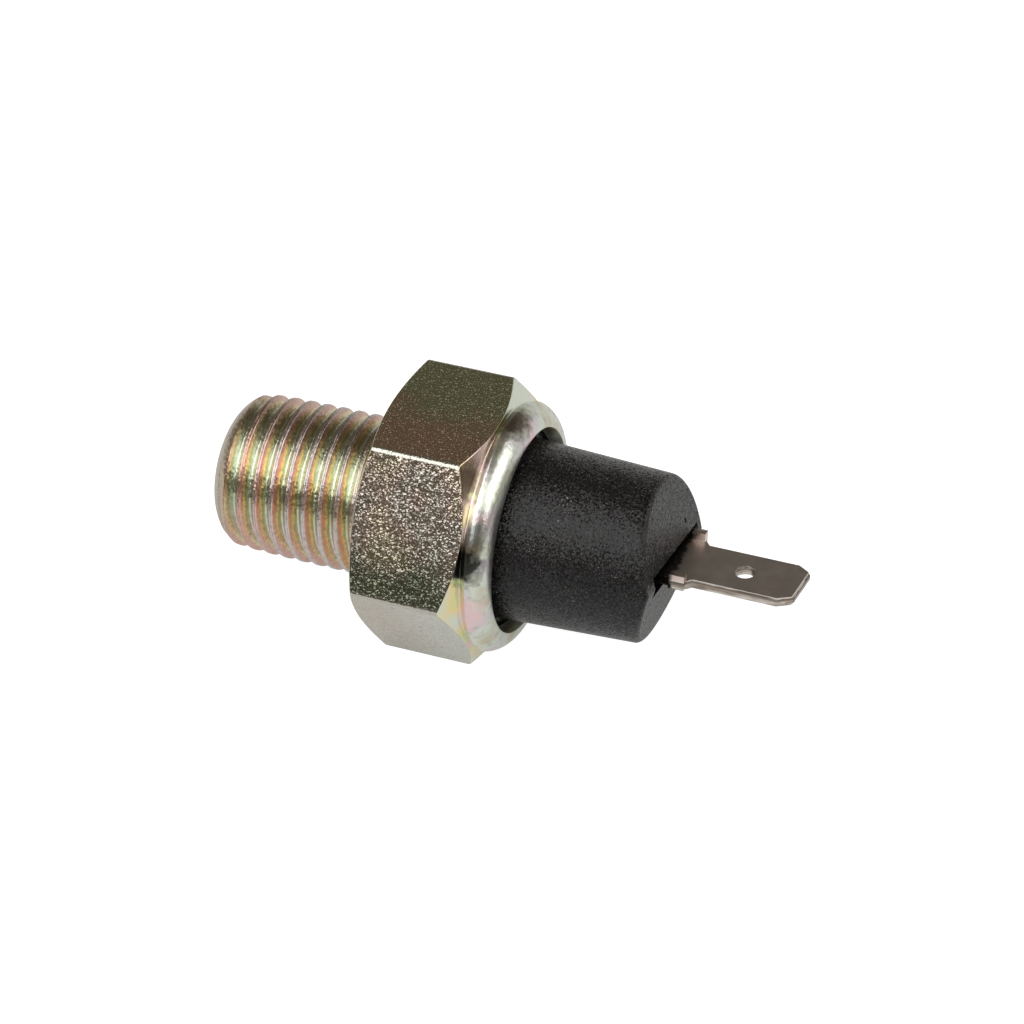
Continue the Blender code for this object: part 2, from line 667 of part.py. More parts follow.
def main():
    clear_scene()
    parts = new_collection("oil_pressure_sender")
    cutters = new_collection("cutters")
    axis = bpy.data.objects.new("sender_axis", None)
    parts.objects.link(axis)
    axis.location = (AXIS_SHIFT, 0.0, AXIS_HEIGHT)
    bpy.context.view_layer.update()

    plated = new_material("passivated_zinc", (0.62, 0.55, 0.36), 0.35, 1.0)
    bright = new_material("bright_steel", (0.62, 0.62, 0.6), 0.3, 1.0)
    tinned = new_material("tinned_brass", (0.36, 0.32, 0.28), 0.35, 1.0)
    brass = new_material("brass", (0.75, 0.6, 0.3), 0.3, 1.0)
    nylon = new_material("black_nylon", (0.02, 0.02, 0.022), 0.6, 0.0)
    white_nylon = new_material("natural_nylon", (0.8, 0.78, 0.7), 0.5, 0.0)
    film = new_material("amber_film", (0.7, 0.35, 0.05), 0.3, 0.0)
    rubber = new_material("black_rubber", (0.015, 0.015, 0.015), 0.7, 0.0)

    make_body(plated, parts, cutters, axis)
    make_diaphragm(film, parts, axis)
    make_clamp_ring(bright, parts, axis)
    make_push_pin(white_nylon, parts, axis)
    make_contact_ring(brass, parts, axis)
    make_contact_disc(brass, parts, axis)
    make_spring(bright, parts, axis)
    make_spring_seat(brass, parts, axis)
    make_sealing_ring(rubber, parts, axis)
    make_insulator(nylon, parts, cutters, axis)
    make_terminal(tinned, parts, cutters, axis)


main()
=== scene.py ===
# %% [markdown]
# # An oil pressure sender, dressed for its photograph
#
# The CAD model gives every piece its true place and size. This lesson puts a finished
# surface on it: the plated steel body with its thread and hexagon, the black moulded
# insulator and the stamped blade terminal. Every length is written in millimetres and
# turned into metres by MM, and every object is in the frame of the CAD model.

# %% Load the CAD model
import math

import bmesh
import bpy
import numpy as np
from mathutils import Matrix, Vector


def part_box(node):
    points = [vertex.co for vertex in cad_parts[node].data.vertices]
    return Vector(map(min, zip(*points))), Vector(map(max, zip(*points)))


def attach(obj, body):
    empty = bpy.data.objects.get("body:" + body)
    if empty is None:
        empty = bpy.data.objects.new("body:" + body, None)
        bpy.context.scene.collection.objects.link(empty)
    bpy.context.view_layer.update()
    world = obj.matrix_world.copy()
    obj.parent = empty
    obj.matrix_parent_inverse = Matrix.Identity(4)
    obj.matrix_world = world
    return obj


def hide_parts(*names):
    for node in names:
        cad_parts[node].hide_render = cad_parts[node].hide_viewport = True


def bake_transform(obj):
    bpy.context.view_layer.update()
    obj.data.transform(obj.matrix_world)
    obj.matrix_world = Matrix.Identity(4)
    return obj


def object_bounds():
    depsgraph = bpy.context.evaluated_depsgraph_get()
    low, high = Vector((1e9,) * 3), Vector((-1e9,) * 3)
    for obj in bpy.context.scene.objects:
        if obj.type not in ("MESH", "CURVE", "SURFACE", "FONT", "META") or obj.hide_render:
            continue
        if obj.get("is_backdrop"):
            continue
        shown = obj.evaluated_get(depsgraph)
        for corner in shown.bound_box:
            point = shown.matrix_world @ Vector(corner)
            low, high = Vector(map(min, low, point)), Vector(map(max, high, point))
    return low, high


MM = 0.001
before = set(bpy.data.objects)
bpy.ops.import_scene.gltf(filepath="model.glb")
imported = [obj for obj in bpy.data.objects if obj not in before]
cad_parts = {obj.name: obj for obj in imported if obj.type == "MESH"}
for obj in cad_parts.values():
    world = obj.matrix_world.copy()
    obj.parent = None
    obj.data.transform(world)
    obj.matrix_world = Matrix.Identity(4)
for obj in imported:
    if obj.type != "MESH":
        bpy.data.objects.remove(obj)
cad_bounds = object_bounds()
scene = bpy.context.scene

# %% [markdown]
# ## Stations and radii
#
# A turned part is drawn by its maker as stations along the axis and radii about it.
# Station 0 is where the hexagon's full corners begin on the engine side. The axis lies
# 11 mm above the ground, because the sender rests on one flat of its 22 mm hexagon.

# %% Stations and radii
AXIS_SHIFT = -9.7
AXIS_HEIGHT = 11.0


def place(station, radius, angle):
    """A point in metres from its station, its radius and its angle from +Y to +Z."""
    return (
        (station + AXIS_SHIFT) * MM,
        radius * math.cos(angle) * MM,
        (AXIS_HEIGHT + radius * math.sin(angle)) * MM,
    )


low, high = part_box("body")
print("body from the CAD, mm:", [round(v / MM, 2) for v in low], [round(v / MM, 2) for v in high])

# %% [markdown]
# ## Camera
#
# The photograph was taken with a long lens from the front right, well above the part.
# A constraint could aim a camera at the part, but it leaves the roll free. This one was
# solved from the hexagon's corners and the blade, so the model and the photograph lie on
# top of each other, and its directions are worked out from three angles.

# %% Camera
CAMERA_PLACE = Vector((0.1026158, -0.24340322, 0.23337645))
CAMERA_AZIMUTH = math.radians(22.8633601)
CAMERA_ELEVATION = math.radians(39.8873842)
CAMERA_ROLL = math.radians(-2.6556560)
CAMERA_LENS = 142.8665

camera_data = bpy.data.cameras.new("camera")
camera_data.lens = CAMERA_LENS
camera_data.sensor_width = 36.0
camera_data.clip_start = 0.01
camera = bpy.data.objects.new("camera", camera_data)
scene.collection.objects.link(camera)
forward = Vector(
    (
        -math.sin(CAMERA_AZIMUTH) * math.cos(CAMERA_ELEVATION),
        math.cos(CAMERA_AZIMUTH) * math.cos(CAMERA_ELEVATION),
        -math.sin(CAMERA_ELEVATION),
    )
)
right = forward.cross(Vector((0, 0, 1))).normalized()
above = right.cross(forward)
rolled_right = math.cos(CAMERA_ROLL) * right + math.sin(CAMERA_ROLL) * above
rolled_up = -math.sin(CAMERA_ROLL) * right + math.cos(CAMERA_ROLL) * above
camera_turn = Matrix((rolled_right, rolled_up, -forward)).transposed().to_4x4()
camera.matrix_world = Matrix.Translation(CAMERA_PLACE) @ camera_turn
scene.camera = camera
PART_MIDDLE = Vector((0.0, 0.0, AXIS_HEIGHT * MM))
print("camera distance, mm:", round((CAMERA_PLACE - PART_MIDDLE).length / MM))

# %% [markdown]
# ## A small helper for finishes
#
# A finish is a node graph. Writing each node with its links in one call keeps the graph
# readable: `add` makes a node, sets what is a number, links what is a socket, and gives
# back one of the node's outputs. Every graph starts from the place of a point in
# millimetres, so that a grain of 0.2 mm can be written as just that.

# %% Finish helper


class Finish:
    """A material's node graph around one Principled shader."""

    def __init__(self, name, **values):
        self.material = bpy.data.materials.new(name)
        self.material.use_nodes = True
        self.tree = self.material.node_tree
        self.shader = self.tree.nodes["Principled BSDF"]
        for socket, value in values.items():
            self.shader.inputs[socket.replace("_", " ")].default_value = value
        own = self.add("ShaderNodeTexCoord", output="Object")
        self.spot = self.vector("SCALE", own, 1 / MM)

    def add(self, kind, inputs=None, output=0, **settings):
        node = self.tree.nodes.new(kind)
        for key, value in settings.items():
            setattr(node, key, value)
        for key, value in (inputs or {}).items():
            if isinstance(value, bpy.types.NodeSocket):
                self.tree.links.new(value, node.inputs[key])
            else:
                node.inputs[key].default_value = value
        return node.outputs[output]

    def wire(self, **sockets):
        for name, source in sockets.items():
            self.tree.links.new(source, self.shader.inputs[name.replace("_", " ")])
        return self.material

    def math(self, operation, *values):
        return self.add("ShaderNodeMath", dict(enumerate(values)), operation=operation)

    def vector(self, operation, first, second, output=0):
        name = "Scale" if operation == "SCALE" else 1
        return self.add("ShaderNodeVectorMath", {0: first, name: second}, output, operation=operation)

    def split(self, vector):
        """The three parts of a vector. Those of spot are X, Y and Z in millimetres."""
        return tuple(self.add("ShaderNodeSeparateXYZ", {0: vector}).node.outputs)

    def stretch(self, x, y, z):
        return self.vector("MULTIPLY", self.spot, (x, y, z))

    def span(self, value, low, high, new_low=0.0, new_high=1.0):
        """Maps a value from one range to another, without leaving the new range."""
        return self.add("ShaderNodeMapRange", {0: value, 1: low, 2: high, 3: new_low, 4: new_high})

    def noise(self, scale, detail=2.0, roughness=0.5, vector=None):
        """Cloudy noise. Its scale is how many clouds there are in a millimetre."""
        inputs = {"Vector": vector or self.spot, "Scale": scale, "Detail": detail}
        return self.add("ShaderNodeTexNoise", {**inputs, "Roughness": roughness})

    def drift(self, scale, low, high, detail=3.0):
        """Noise that wanders between two values."""
        return self.span(self.noise(scale, detail), 0.3, 0.7, low, high)

    def ramp(self, value, *stops):
        """Colours along a value: each stop is a place from 0 to 1 and a colour."""
        node = self.tree.nodes.new("ShaderNodeValToRGB")
        while len(node.color_ramp.elements) < len(stops):
            node.color_ramp.elements.new(0.5)
        for element, (at, color) in zip(node.color_ramp.elements, stops):
            element.position = at
            element.color = (*color, 1.0)
        self.tree.links.new(value, node.inputs[0])
        return node.outputs[0]

    def mix(self, factor, first, second):
        """Mixes two colours, each a socket or three numbers."""
        first, second = ((*c, 1.0) if isinstance(c, tuple) else c for c in (first, second))
        inputs = {0: factor, 6: first, 7: second}
        return self.add("ShaderNodeMix", inputs, output=2, data_type="RGBA")

    def bump(self, height, distance, normal=None):
        """Raises the surface by height, from 0 to 1, times distance in millimetres."""
        inputs = {"Height": height, "Distance": distance * MM}
        if normal:
            inputs["Normal"] = normal
        return self.add("ShaderNodeBump", inputs)


# %% [markdown]
# ## Yellow passivated zinc on the hexagon
#
# The body is plated with zinc and dipped in a chromate bath, which leaves a film thinner
# than a wavelength of light. Its colour changes with its thickness, from straw through
# pink to green, and it drifts over a few millimetres. It could be painted on an image, but
# slow noise needs no unwrapping and has no seams, so the metal's colour follows noise. The
# flat towards us is painted dark green along its lower edge, a painted shade for a dark
# reflection; the top is brown and green and the flat below is pale.
#
# The bar's flats have a fine crystalline grain. A bump map would average out at this
# size, so each small cell of a Voronoi pattern leans its own way instead and is either
# bright or dark, which gives the sparkle.

# %% Crystals and radii


def facets(finish, scale, lean, vector=None):
    """Small crystals, so many in a millimetre, that each lean by up to half of lean."""
    inputs = {"Vector": vector or finish.spot, "Scale": scale}
    own = finish.add("ShaderNodeTexVoronoi", inputs, output="Color")
    tilt = finish.vector("SCALE", finish.vector("SUBTRACT", own, (0.5, 0.5, 0.5)), lean)
    surface = finish.add("ShaderNodeNewGeometry", output="Normal")
    leaning = finish.vector("ADD", surface, tilt)
    return finish.add("ShaderNodeVectorMath", {0: leaning}, operation="NORMALIZE")


def turned(finish):
    """X and the radius about the axis, in millimetres, for what runs round the axis."""
    x, y, z = finish.split(finish.spot)
    rise = finish.math("SUBTRACT", z, AXIS_HEIGHT)
    square = finish.math("ADD", finish.math("MULTIPLY", y, y), finish.math("MULTIPLY", rise, rise))
    return x, finish.math("SQRT", square)


# %% Zinc on the hexagon
STRAW = (0.68, 0.62, 0.46)
PINK = (0.67, 0.56, 0.49)
GREY = (0.58, 0.56, 0.50)
BLOTCH_BROWN = (0.44, 0.38, 0.33)
# Painted shade: dark green along the lower edge of the flat towards us, for a dark reflection.
PAINTED_SHADE_GREEN = (0.17, 0.21, 0.14)
PAINTED_SHADE_FROM, PAINTED_SHADE_FULL = 16.0, 12.5
TOP_BROWN = (0.64, 0.49, 0.38)
TOP_GREEN = (0.50, 0.54, 0.37)
LOWER_STRAW = (0.56, 0.53, 0.45)
LOWER_GREEN = (0.68, 0.70, 0.62)
WORN_SILVER = (0.58, 0.57, 0.50)
CORNER_BAND = (12.48, 12.58)
GRAIN_SCALE = 11.0
GRAIN_STRETCH = (0.7, 1.1, 1.15)
SIDE_LEAN = 0.33
TOP_LEAN = 0.325


def zinc_hexagon():
    finish = Finish("zinc_hexagon", Metallic=1.0, Roughness=0.18)
    x, y, z = finish.split(finish.spot)
    radius = turned(finish)[1]
    facing_up = finish.split(finish.add("ShaderNodeTexCoord", output="Normal"))[2]

    film = finish.noise(0.17, detail=3.0)
    color = finish.ramp(film, (0.3, PINK), (0.42, GREY), (0.52, PINK), (0.62, STRAW), (0.75, PINK))
    blotch = finish.span(finish.noise(2.4, detail=4.0), 0.35, 0.7, 0.0, 0.5)
    color = finish.mix(blotch, color, BLOTCH_BROWN)

    wander = finish.drift(0.3, -2.0, 2.0)
    height = finish.math("ADD", z, finish.math("MULTIPLY", wander, 0.5))
    # Painted shade: the flat towards us turns dark green towards its lower edge.
    painted_shade = finish.span(height, PAINTED_SHADE_FROM, PAINTED_SHADE_FULL, 0.0, 0.85)
    side_flat = finish.span(z, AXIS_HEIGHT - 0.1, AXIS_HEIGHT + 0.2)
    color = finish.mix(finish.math("MULTIPLY", painted_shade, side_flat), color, PAINTED_SHADE_GREEN)

    across_top = finish.span(finish.math("ADD", y, wander), -5.5, 6.0)
    top_film = finish.ramp(across_top, (0.3, TOP_BROWN), (0.6, TOP_GREEN))
    color = finish.mix(finish.span(facing_up, 0.9, 0.95), color, top_film)
    lower_film = finish.ramp(finish.span(x, -10.0, -2.0), (0.3, LOWER_STRAW), (0.9, LOWER_GREEN))
    color = finish.mix(finish.span(facing_up, -0.3, -0.45, 0.0, 0.8), color, lower_film)
    corner = finish.span(radius, *CORNER_BAND)
    color = finish.mix(corner, color, WORN_SILVER)

    lean = finish.span(facing_up, 0.6, 0.9, SIDE_LEAN, TOP_LEAN)
    lean = finish.math("MULTIPLY", lean, finish.span(corner, 0.0, 1.0, 1.0, 0.5))
    lean = finish.math("MULTIPLY", lean, finish.drift(4.0, 0.8, 1.25))
    crystals = facets(finish, GRAIN_SCALE, lean, finish.stretch(*GRAIN_STRETCH))
    specks = finish.span(finish.noise(7.0, detail=1.0), 0.66, 0.74)
    return finish.wire(Base_Color=color, Normal=finish.bump(specks, 0.05, crystals))


hexagon_zinc = zinc_hexagon()
print(hexagon_zinc.name, "nodes", len(hexagon_zinc.node_tree.nodes))

# %% [markdown]
# ## Zinc on the chamfers
#
# The chamfers are turned, so they are smooth and mirror the studio, with the fine rings
# of the lathe tool round the axis. The rings could be cut into the mesh, but a noise that
# knows only X and the radius follows the cones by itself. The film shows its purest
# colours here: peach, green and pink, with a few ragged stains where the photograph has
# them. The two near-black spots beside the collar's foot are painted shade.

# %% Rings, stains and painted shade


def rings(finish):
    """A place that is the same all round the axis, for the marks of a turning tool."""
    x, radius = turned(finish)
    return finish.add("ShaderNodeCombineXYZ", {0: x, 1: radius})


def stained_and_shaded(finish, color, stains_and_shade, strength=1.0):
    """Lays ragged spots over a colour, stains or painted shade: each a middle in mm, a size and a colour."""
    for middle, size, tone in stains_and_shade:
        away = finish.vector("DISTANCE", finish.spot, middle, output=1)
        ragged = finish.drift(1.3, -0.25 * size, 0.25 * size, detail=4.0)
        spot = finish.span(finish.math("ADD", away, ragged), size, 0.5 * size, 0.0, strength)
        color = finish.mix(spot, color, tone)
    return color


# %% Zinc on the chamfers
FILM_PEACH = (0.96, 0.80, 0.42)
FILM_GREEN = (0.74, 0.86, 0.42)
FILM_PINK = (0.94, 0.66, 0.66)
FILM_PALE = (0.80, 0.86, 0.74)
CHAMFER_STAINS_AND_SHADE = [
    ((-1.6, 5.2, 21.2), 5.0, FILM_PALE),
    ((-0.9, -3.6, 21.8), 2.6, (0.74, 0.56, 0.50)),
    ((-1.5, -6.4, 20.7), 2.0, (0.36, 0.27, 0.20)),
    # These two near-black spots by the collar's foot are painted shade.
    ((-1.0, -11.2, 15.0), 1.7, (0.13, 0.13, 0.11)),
    ((-0.7, -10.0, 14.6), 1.9, (0.05, 0.05, 0.045)),
]


def zinc_chamfer():
    finish = Finish("zinc_chamfer", Metallic=1.0, Roughness=0.2)
    color = finish.ramp(
        finish.noise(0.24, roughness=0.4),
        (0.32, FILM_PALE),
        (0.42, FILM_PEACH),
        (0.50, FILM_GREEN),
        (0.58, FILM_PINK),
        (0.68, FILM_PEACH),
    )
    color = stained_and_shaded(finish, color, CHAMFER_STAINS_AND_SHADE)
    marks = finish.noise(6.0, detail=3.0, vector=rings(finish))
    return finish.wire(Base_Color=color, Normal=finish.bump(marks, 0.006))


chamfer_zinc = zinc_chamfer()
print(chamfer_zinc.name, "stains_and_shade", len(CHAMFER_STAINS_AND_SHADE))

# %% [markdown]
# ## Zinc on the collar
#
# The collar was rolled over the insulator after plating. The rolling tool left shallow
# dents and a scuffed surface. A near-black spot in the groove at the collar's foot and a
# dark olive spot on its top are painted shade, for dark reflections. The dents could be
# sculpted, but that needs a much denser mesh, so they are a bump of slow noise below the
# rings, with a grain on top. The finish is greyer and a little rougher than on the chamfers.

# %% Zinc on the collar
COLLAR_GREY = (0.78, 0.76, 0.76)
SCUFF_BROWN = (0.36, 0.33, 0.30)
COLLAR_STAINS_AND_SHADE = [
    ((-0.55, -10.8, 9.8), 2.4, (0.92, 0.68, 0.69)),
    # A near-black spot in the groove at the collar's foot: painted shade.
    ((-0.8, -10.2, 14.9), 2.5, (0.03, 0.033, 0.03)),
    ((-0.2, -8.7, 17.2), 1.4, (0.40, 0.42, 0.41)),
    # A dark olive spot on the collar's top: painted shade, for a dark reflection.
    ((-0.4, 1.2, 21.8), 2.6, (0.19, 0.17, 0.13)),
]


def zinc_collar():
    finish = Finish("zinc_collar", Metallic=1.0, Roughness=0.28)
    film = finish.noise(0.26)
    color = finish.ramp(film, (0.34, FILM_PINK), (0.46, COLLAR_GREY), (0.56, FILM_PALE), (0.68, STRAW))
    scuffs = finish.span(finish.noise(1.6, detail=5.0), 0.5, 0.75, 0.0, 0.5)
    color = finish.mix(scuffs, color, SCUFF_BROWN)
    color = stained_and_shaded(finish, color, COLLAR_STAINS_AND_SHADE, strength=0.95)
    dents = finish.bump(finish.noise(0.55), 0.04)
    marks = finish.bump(finish.noise(7.0, detail=3.0, vector=rings(finish)), 0.010, dents)
    grain = finish.bump(finish.noise(3.6, detail=3.0, roughness=0.6), 0.02, marks)
    return finish.wire(Base_Color=color, Normal=grain)


collar_zinc = zinc_collar()
print(collar_zinc.name, "stains_and_shade", len(COLLAR_STAINS_AND_SHADE))

# %% [markdown]
# ## Zinc on the thread
#
# The film's thickness follows the bath's flow over the thread: silver on the worn crests,
# salmon below them, then yellow, olive and green towards the root. A painted image would
# need the helix laid out flat, so the colour is a ramp over the depth below the crest
# instead, pushed in and out by slow noise. Low down the salmon spreads and the roots turn
# rose, and the upper side is painted darker: painted shade.

# %% Zinc on the thread
THREAD_SALMON = (0.78, 0.50, 0.42)
THREAD_YELLOW = (0.90, 0.79, 0.43)
THREAD_OLIVE = (0.56, 0.57, 0.35)
THREAD_GREEN = (0.70, 0.76, 0.62)
THREAD_ROSE = (0.72, 0.63, 0.58)
THREAD_SILVER = (0.70, 0.66, 0.67)
# Painted shade for the thread's upper side.
THREAD_PAINTED_SHADE = (0.30, 0.25, 0.20)
BLOTCH_DARK = (0.36, 0.30, 0.24)
LEAD_BROWN = (0.52, 0.42, 0.35)
FLANK_RADII = (6.84, 6.08)
CREST_RADII = (6.80, 6.87)
LEAD_BAND = (-23.4, -24.2)


def zinc_thread():
    finish = Finish("zinc_thread", Metallic=1.0)
    x, radius = turned(finish)
    height = finish.split(finish.spot)[2]
    flow = finish.math("ADD", finish.drift(0.13, -0.35, 0.35, detail=2.0), finish.drift(1.1, -0.08, 0.08))
    flow = finish.math("ADD", flow, finish.span(height, 7.0, 11.5, -0.28, 0.0))
    depth = finish.math("ADD", finish.span(radius, *FLANK_RADII), flow)
    color = finish.ramp(
        depth,
        (0.0, THREAD_SALMON),
        (0.3, THREAD_SALMON),
        (0.55, THREAD_YELLOW),
        (0.8, THREAD_OLIVE),
        (1.0, THREAD_GREEN),
    )
    root = finish.span(depth, 0.62, 0.9)
    low_side = finish.span(height, 12.2, 9.8, 0.0, 0.85)
    color = finish.mix(finish.math("MULTIPLY", root, low_side), color, THREAD_ROSE)
    color = finish.mix(finish.span(radius, *CREST_RADII), color, THREAD_SILVER)
    blotch = finish.span(finish.noise(2.2, detail=4.0), 0.45, 0.72, 0.0, 0.45)
    color = finish.mix(blotch, color, BLOTCH_DARK)
    # Painted shade: the thread's upper side is darkened towards a dull brown.
    color = finish.mix(finish.span(height, 15.8, 17.6, 0.0, 0.5), color, THREAD_PAINTED_SHADE)
    color = finish.mix(finish.span(x, *LEAD_BAND, 0.0, 0.7), color, LEAD_BROWN)
    waves = finish.bump(finish.noise(0.9), 0.03, facets(finish, 8.0, 0.2))
    marks = finish.bump(finish.noise(12.0, vector=rings(finish)), 0.008, waves)
    roughness = finish.span(height, 14.5, 16.5, 0.23, 0.27)
    return finish.wire(Base_Color=color, Roughness=roughness, Normal=marks)


zinc = [collar_zinc, hexagon_zinc, chamfer_zinc, zinc_thread()]
print("zinc finishes", [m.name for m in zinc])

# %% [markdown]
# ## The body's section
#
# The body is one turned piece of hexagon bar. A prism could be cut by cones with booleans,
# but that leaves long thin faces beside every cut, which shade badly on bright metal. So
# the mesh is one closed skin: a section through the wall, repeated at many angles about
# the axis. At each angle the section is cut back to the hexagon bar's own radius, which
# makes the flats, and the two conical chamfers end where they meet it. Each sharp corner
# of the section is replaced by a short curve, because no plated edge is sharp and those
# curves catch the light.

# %% The bar's radius
FLAT_RADIUS = 11.0
SIXTH = math.radians(60)
HALF_SIXTH = SIXTH / 2
CORNER_RADIUS = FLAT_RADIUS / math.cos(HALF_SIXTH)
CORNER_ROUNDING = 0.5
ROUNDING_RADIUS = (FLAT_RADIUS - CORNER_ROUNDING) / math.cos(HALF_SIXTH)
FLAT_HALF_ANGLE = math.atan((FLAT_RADIUS - CORNER_ROUNDING) * math.tan(HALF_SIXTH) / FLAT_RADIUS)


def bar_radius(angle):
    """Radius of the hexagon bar with its rounded corners, at an angle about the axis."""
    from_flat = abs(angle % SIXTH - HALF_SIXTH)
    if from_flat <= FLAT_HALF_ANGLE:
        return FLAT_RADIUS / math.cos(from_flat)
    from_corner = HALF_SIXTH - from_flat
    reach = math.sqrt(CORNER_ROUNDING**2 - (ROUNDING_RADIUS * math.sin(from_corner)) ** 2)
    return ROUNDING_RADIUS * math.cos(from_corner) + reach


print("corner radius, mm: sharp", round(CORNER_RADIUS, 3), "rounded", round(bar_radius(0.0), 3))

# %% Arcs and rounded corners
FILLET_STEPS = 4


def arc(start, end, bulge, steps):
    """Points of an arc from start to end that leaves its chord by bulge, to its left."""
    start, end = Vector(start), Vector(end)
    chord = (end - start).length
    radius = (chord * chord / 4 + bulge * bulge) / (2 * bulge)
    half = math.asin(chord / 2 / radius)
    along = (end - start) / chord
    across = Vector((-along.y, along.x))
    points = []
    for step in range(steps + 1):
        turn = half * (2 * step / steps - 1)
        run = chord / 2 + radius * math.sin(turn)
        points.append(start + along * run + across * (radius * math.cos(turn) - radius + bulge))
    return points


def rounded(corners, steps=FILLET_STEPS):
    """Replaces each corner (station, radius, tangent length) by a short curve, if it has a length."""
    points = []
    for index, (station, radius, tangent) in enumerate(corners):
        corner = Vector((station, radius))
        if not tangent:
            points.append(corner)
            continue
        before = Vector(corners[index - 1][:2]) - corner
        after = Vector(corners[index + 1][:2]) - corner
        first = corner + before.normalized() * min(tangent, 0.45 * before.length)
        last = corner + after.normalized() * min(tangent, 0.45 * after.length)
        for step in range(steps + 1):
            t = step / steps
            points.append(first * (1 - t) ** 2 + corner * 2 * t * (1 - t) + last * t**2)
    return points


# %% The section outside
CORNER_LENGTH = 7.76
SEAT_STATION = -0.9
SEAT_RADIUS = 10.6
COLLAR_STATION = 8.95
COLLAR_ROOT = 10.98
LIP_STATION = 11.28
LIP_UNDERSIDE = 10.05
LIP_RADIUS = 8.95
LIP_INNER = 8.62
LIP_ROUNDING = 0.10
CROWN_START = 9.6
CROWN_RADIUS = 10.9
CROWN_BULGE = 0.42
CROWN_STEPS = 18
CROWN_ROUNDING = 0.26
NECK_STATION = 9.05
NECK_RADIUS = 10.62
EDGE_ROUNDING = 0.12
CHAMFER_PARTS = (0.3, 0.6, 0.82)
THREAD_RADIUS = 6.92
THREAD_END = -1.02


def chamfer_edge(bar, end_station, end_radius, full_station):
    """Station where a cone, from its end to the sharp corners, meets the bar's surface."""
    share = (bar - end_radius) / (CORNER_RADIUS - end_radius)
    return end_station + (full_station - end_station) * share


def outer_section(angle):
    """From the lip's underside over the collar and hexagon to the end of the thread."""
    bar = bar_radius(angle)
    collar_edge = chamfer_edge(bar, COLLAR_STATION, COLLAR_ROOT, CORNER_LENGTH)
    seat_edge = chamfer_edge(bar, SEAT_STATION, SEAT_RADIUS, 0.0)
    crown = arc((CROWN_START, CROWN_RADIUS), (LIP_STATION, LIP_RADIUS), CROWN_BULGE, CROWN_STEPS)
    corners = [(LIP_UNDERSIDE, LIP_INNER, 0.0), (LIP_STATION, LIP_RADIUS, LIP_ROUNDING)]
    corners += [(p.x, p.y, 0.0) for p in reversed(crown[1:-1])]
    corners += [
        (CROWN_START, CROWN_RADIUS, CROWN_ROUNDING),
        (NECK_STATION, NECK_RADIUS, EDGE_ROUNDING),
    ]
    for part in CHAMFER_PARTS:
        station = NECK_STATION + (collar_edge - NECK_STATION) * part
        corners.append((station, NECK_RADIUS + (bar - NECK_RADIUS) * part, 0.0))
    corners += [
        (collar_edge, bar, EDGE_ROUNDING),
        (seat_edge, bar, EDGE_ROUNDING),
        (SEAT_STATION, SEAT_RADIUS, EDGE_ROUNDING),
        (SEAT_STATION, THREAD_RADIUS, EDGE_ROUNDING),
        (THREAD_END, THREAD_RADIUS, 0.0),
    ]
    return rounded(corners)[:-1]


print("rows in the outer section:", len(outer_section(0.0)))

# %% [markdown]
# ## The thread
#
# An M14 x 1.5 thread is rolled or cut as one helix. The Screw modifier could wind its
# profile, but it can't fade the thread out at the hexagon and at the rounded lead, so each
# radius is worked out here. The rows of vertices follow the helix, so that the crest, the
# flanks and the root each keep a clean line of faces.
# One turn of the helix climbs one pitch, so the last column of vertices falls on the
# first one, a pitch further on, and the two are merged. A rolled crest has a fine seam
# between two lips, because the metal rises from both sides of the groove. The profile
# is a list of places beside the crest and depths below it.

# %% Thread
THREAD_PITCH = 1.5
THREAD_TURN = 220.0
THREAD_TURNS = 12
RUNOUT = 1.0
CREST = [(0.0, 0.05), (0.03, 0.04), (0.055, 0.01), (0.085, 0.0), (0.125, 0.0), (0.155, 0.02), (0.19, 0.065)]
ROOT = [(0.40, 0.43), (0.585, 0.745), (0.63, 0.805), (0.68, 0.835), (0.75, 0.84)]
half_profile = CREST + ROOT
profile = half_profile[::-1] + [(-beside, depth) for beside, depth in half_profile[1:-1]]

TIP_STATION = -16.0
TIP_RADIUS = 4.7
TIP_LEAD = 1.7
TIP_BULGE = 0.22
TIP_STEPS = 24
SHALLOW_START = 0.25
SHALLOW_FADE = 2.3
FADE_STEP = 0.25
FADE_STEPS = 39
lead_end = TIP_STATION + TIP_LEAD
lead_start = (TIP_STATION, TIP_RADIUS)
lead = [tuple(p) for p in arc(lead_start, (lead_end, THREAD_RADIUS - SHALLOW_START), TIP_BULGE, TIP_STEPS)]
for step in range(1, FADE_STEPS + 1):
    station = lead_end + FADE_STEP * step
    lead.append((station, THREAD_RADIUS - SHALLOW_START * math.exp(-(station - lead_end) / SHALLOW_FADE)))
lead_stations, lead_radii = zip(*lead)


def thread_section(angle):
    """The thread's rows at one angle, from the hexagon to the tip."""
    points = []
    for turn in range(-1, -THREAD_TURNS - 1, -1):
        crest = SEAT_STATION + THREAD_PITCH * ((math.degrees(angle) + THREAD_TURN) / 360 + turn)
        for beside, depth in profile:
            station = min(THREAD_END, max(TIP_STATION, crest + beside))
            fade = min(1.0, (THREAD_END - station) / RUNOUT)
            cut = THREAD_RADIUS - depth * fade
            limit = float(np.interp(station, lead_stations, lead_radii))
            if station > lead_end:
                cut -= THREAD_RADIUS - limit
            points.append(Vector((station, min(cut, limit))))
    return points


print("rows in the thread:", len(thread_section(0.0)))

# %% [markdown]
# ## Inside the body
#
# A drilled oil port runs up the spigot and ends in the cone of its drill. A fine hole
# meets it from the room for the works, which is bored in two steps. All of it could be
# drilled with booleans, but as a part of the same section it keeps the skin closed.

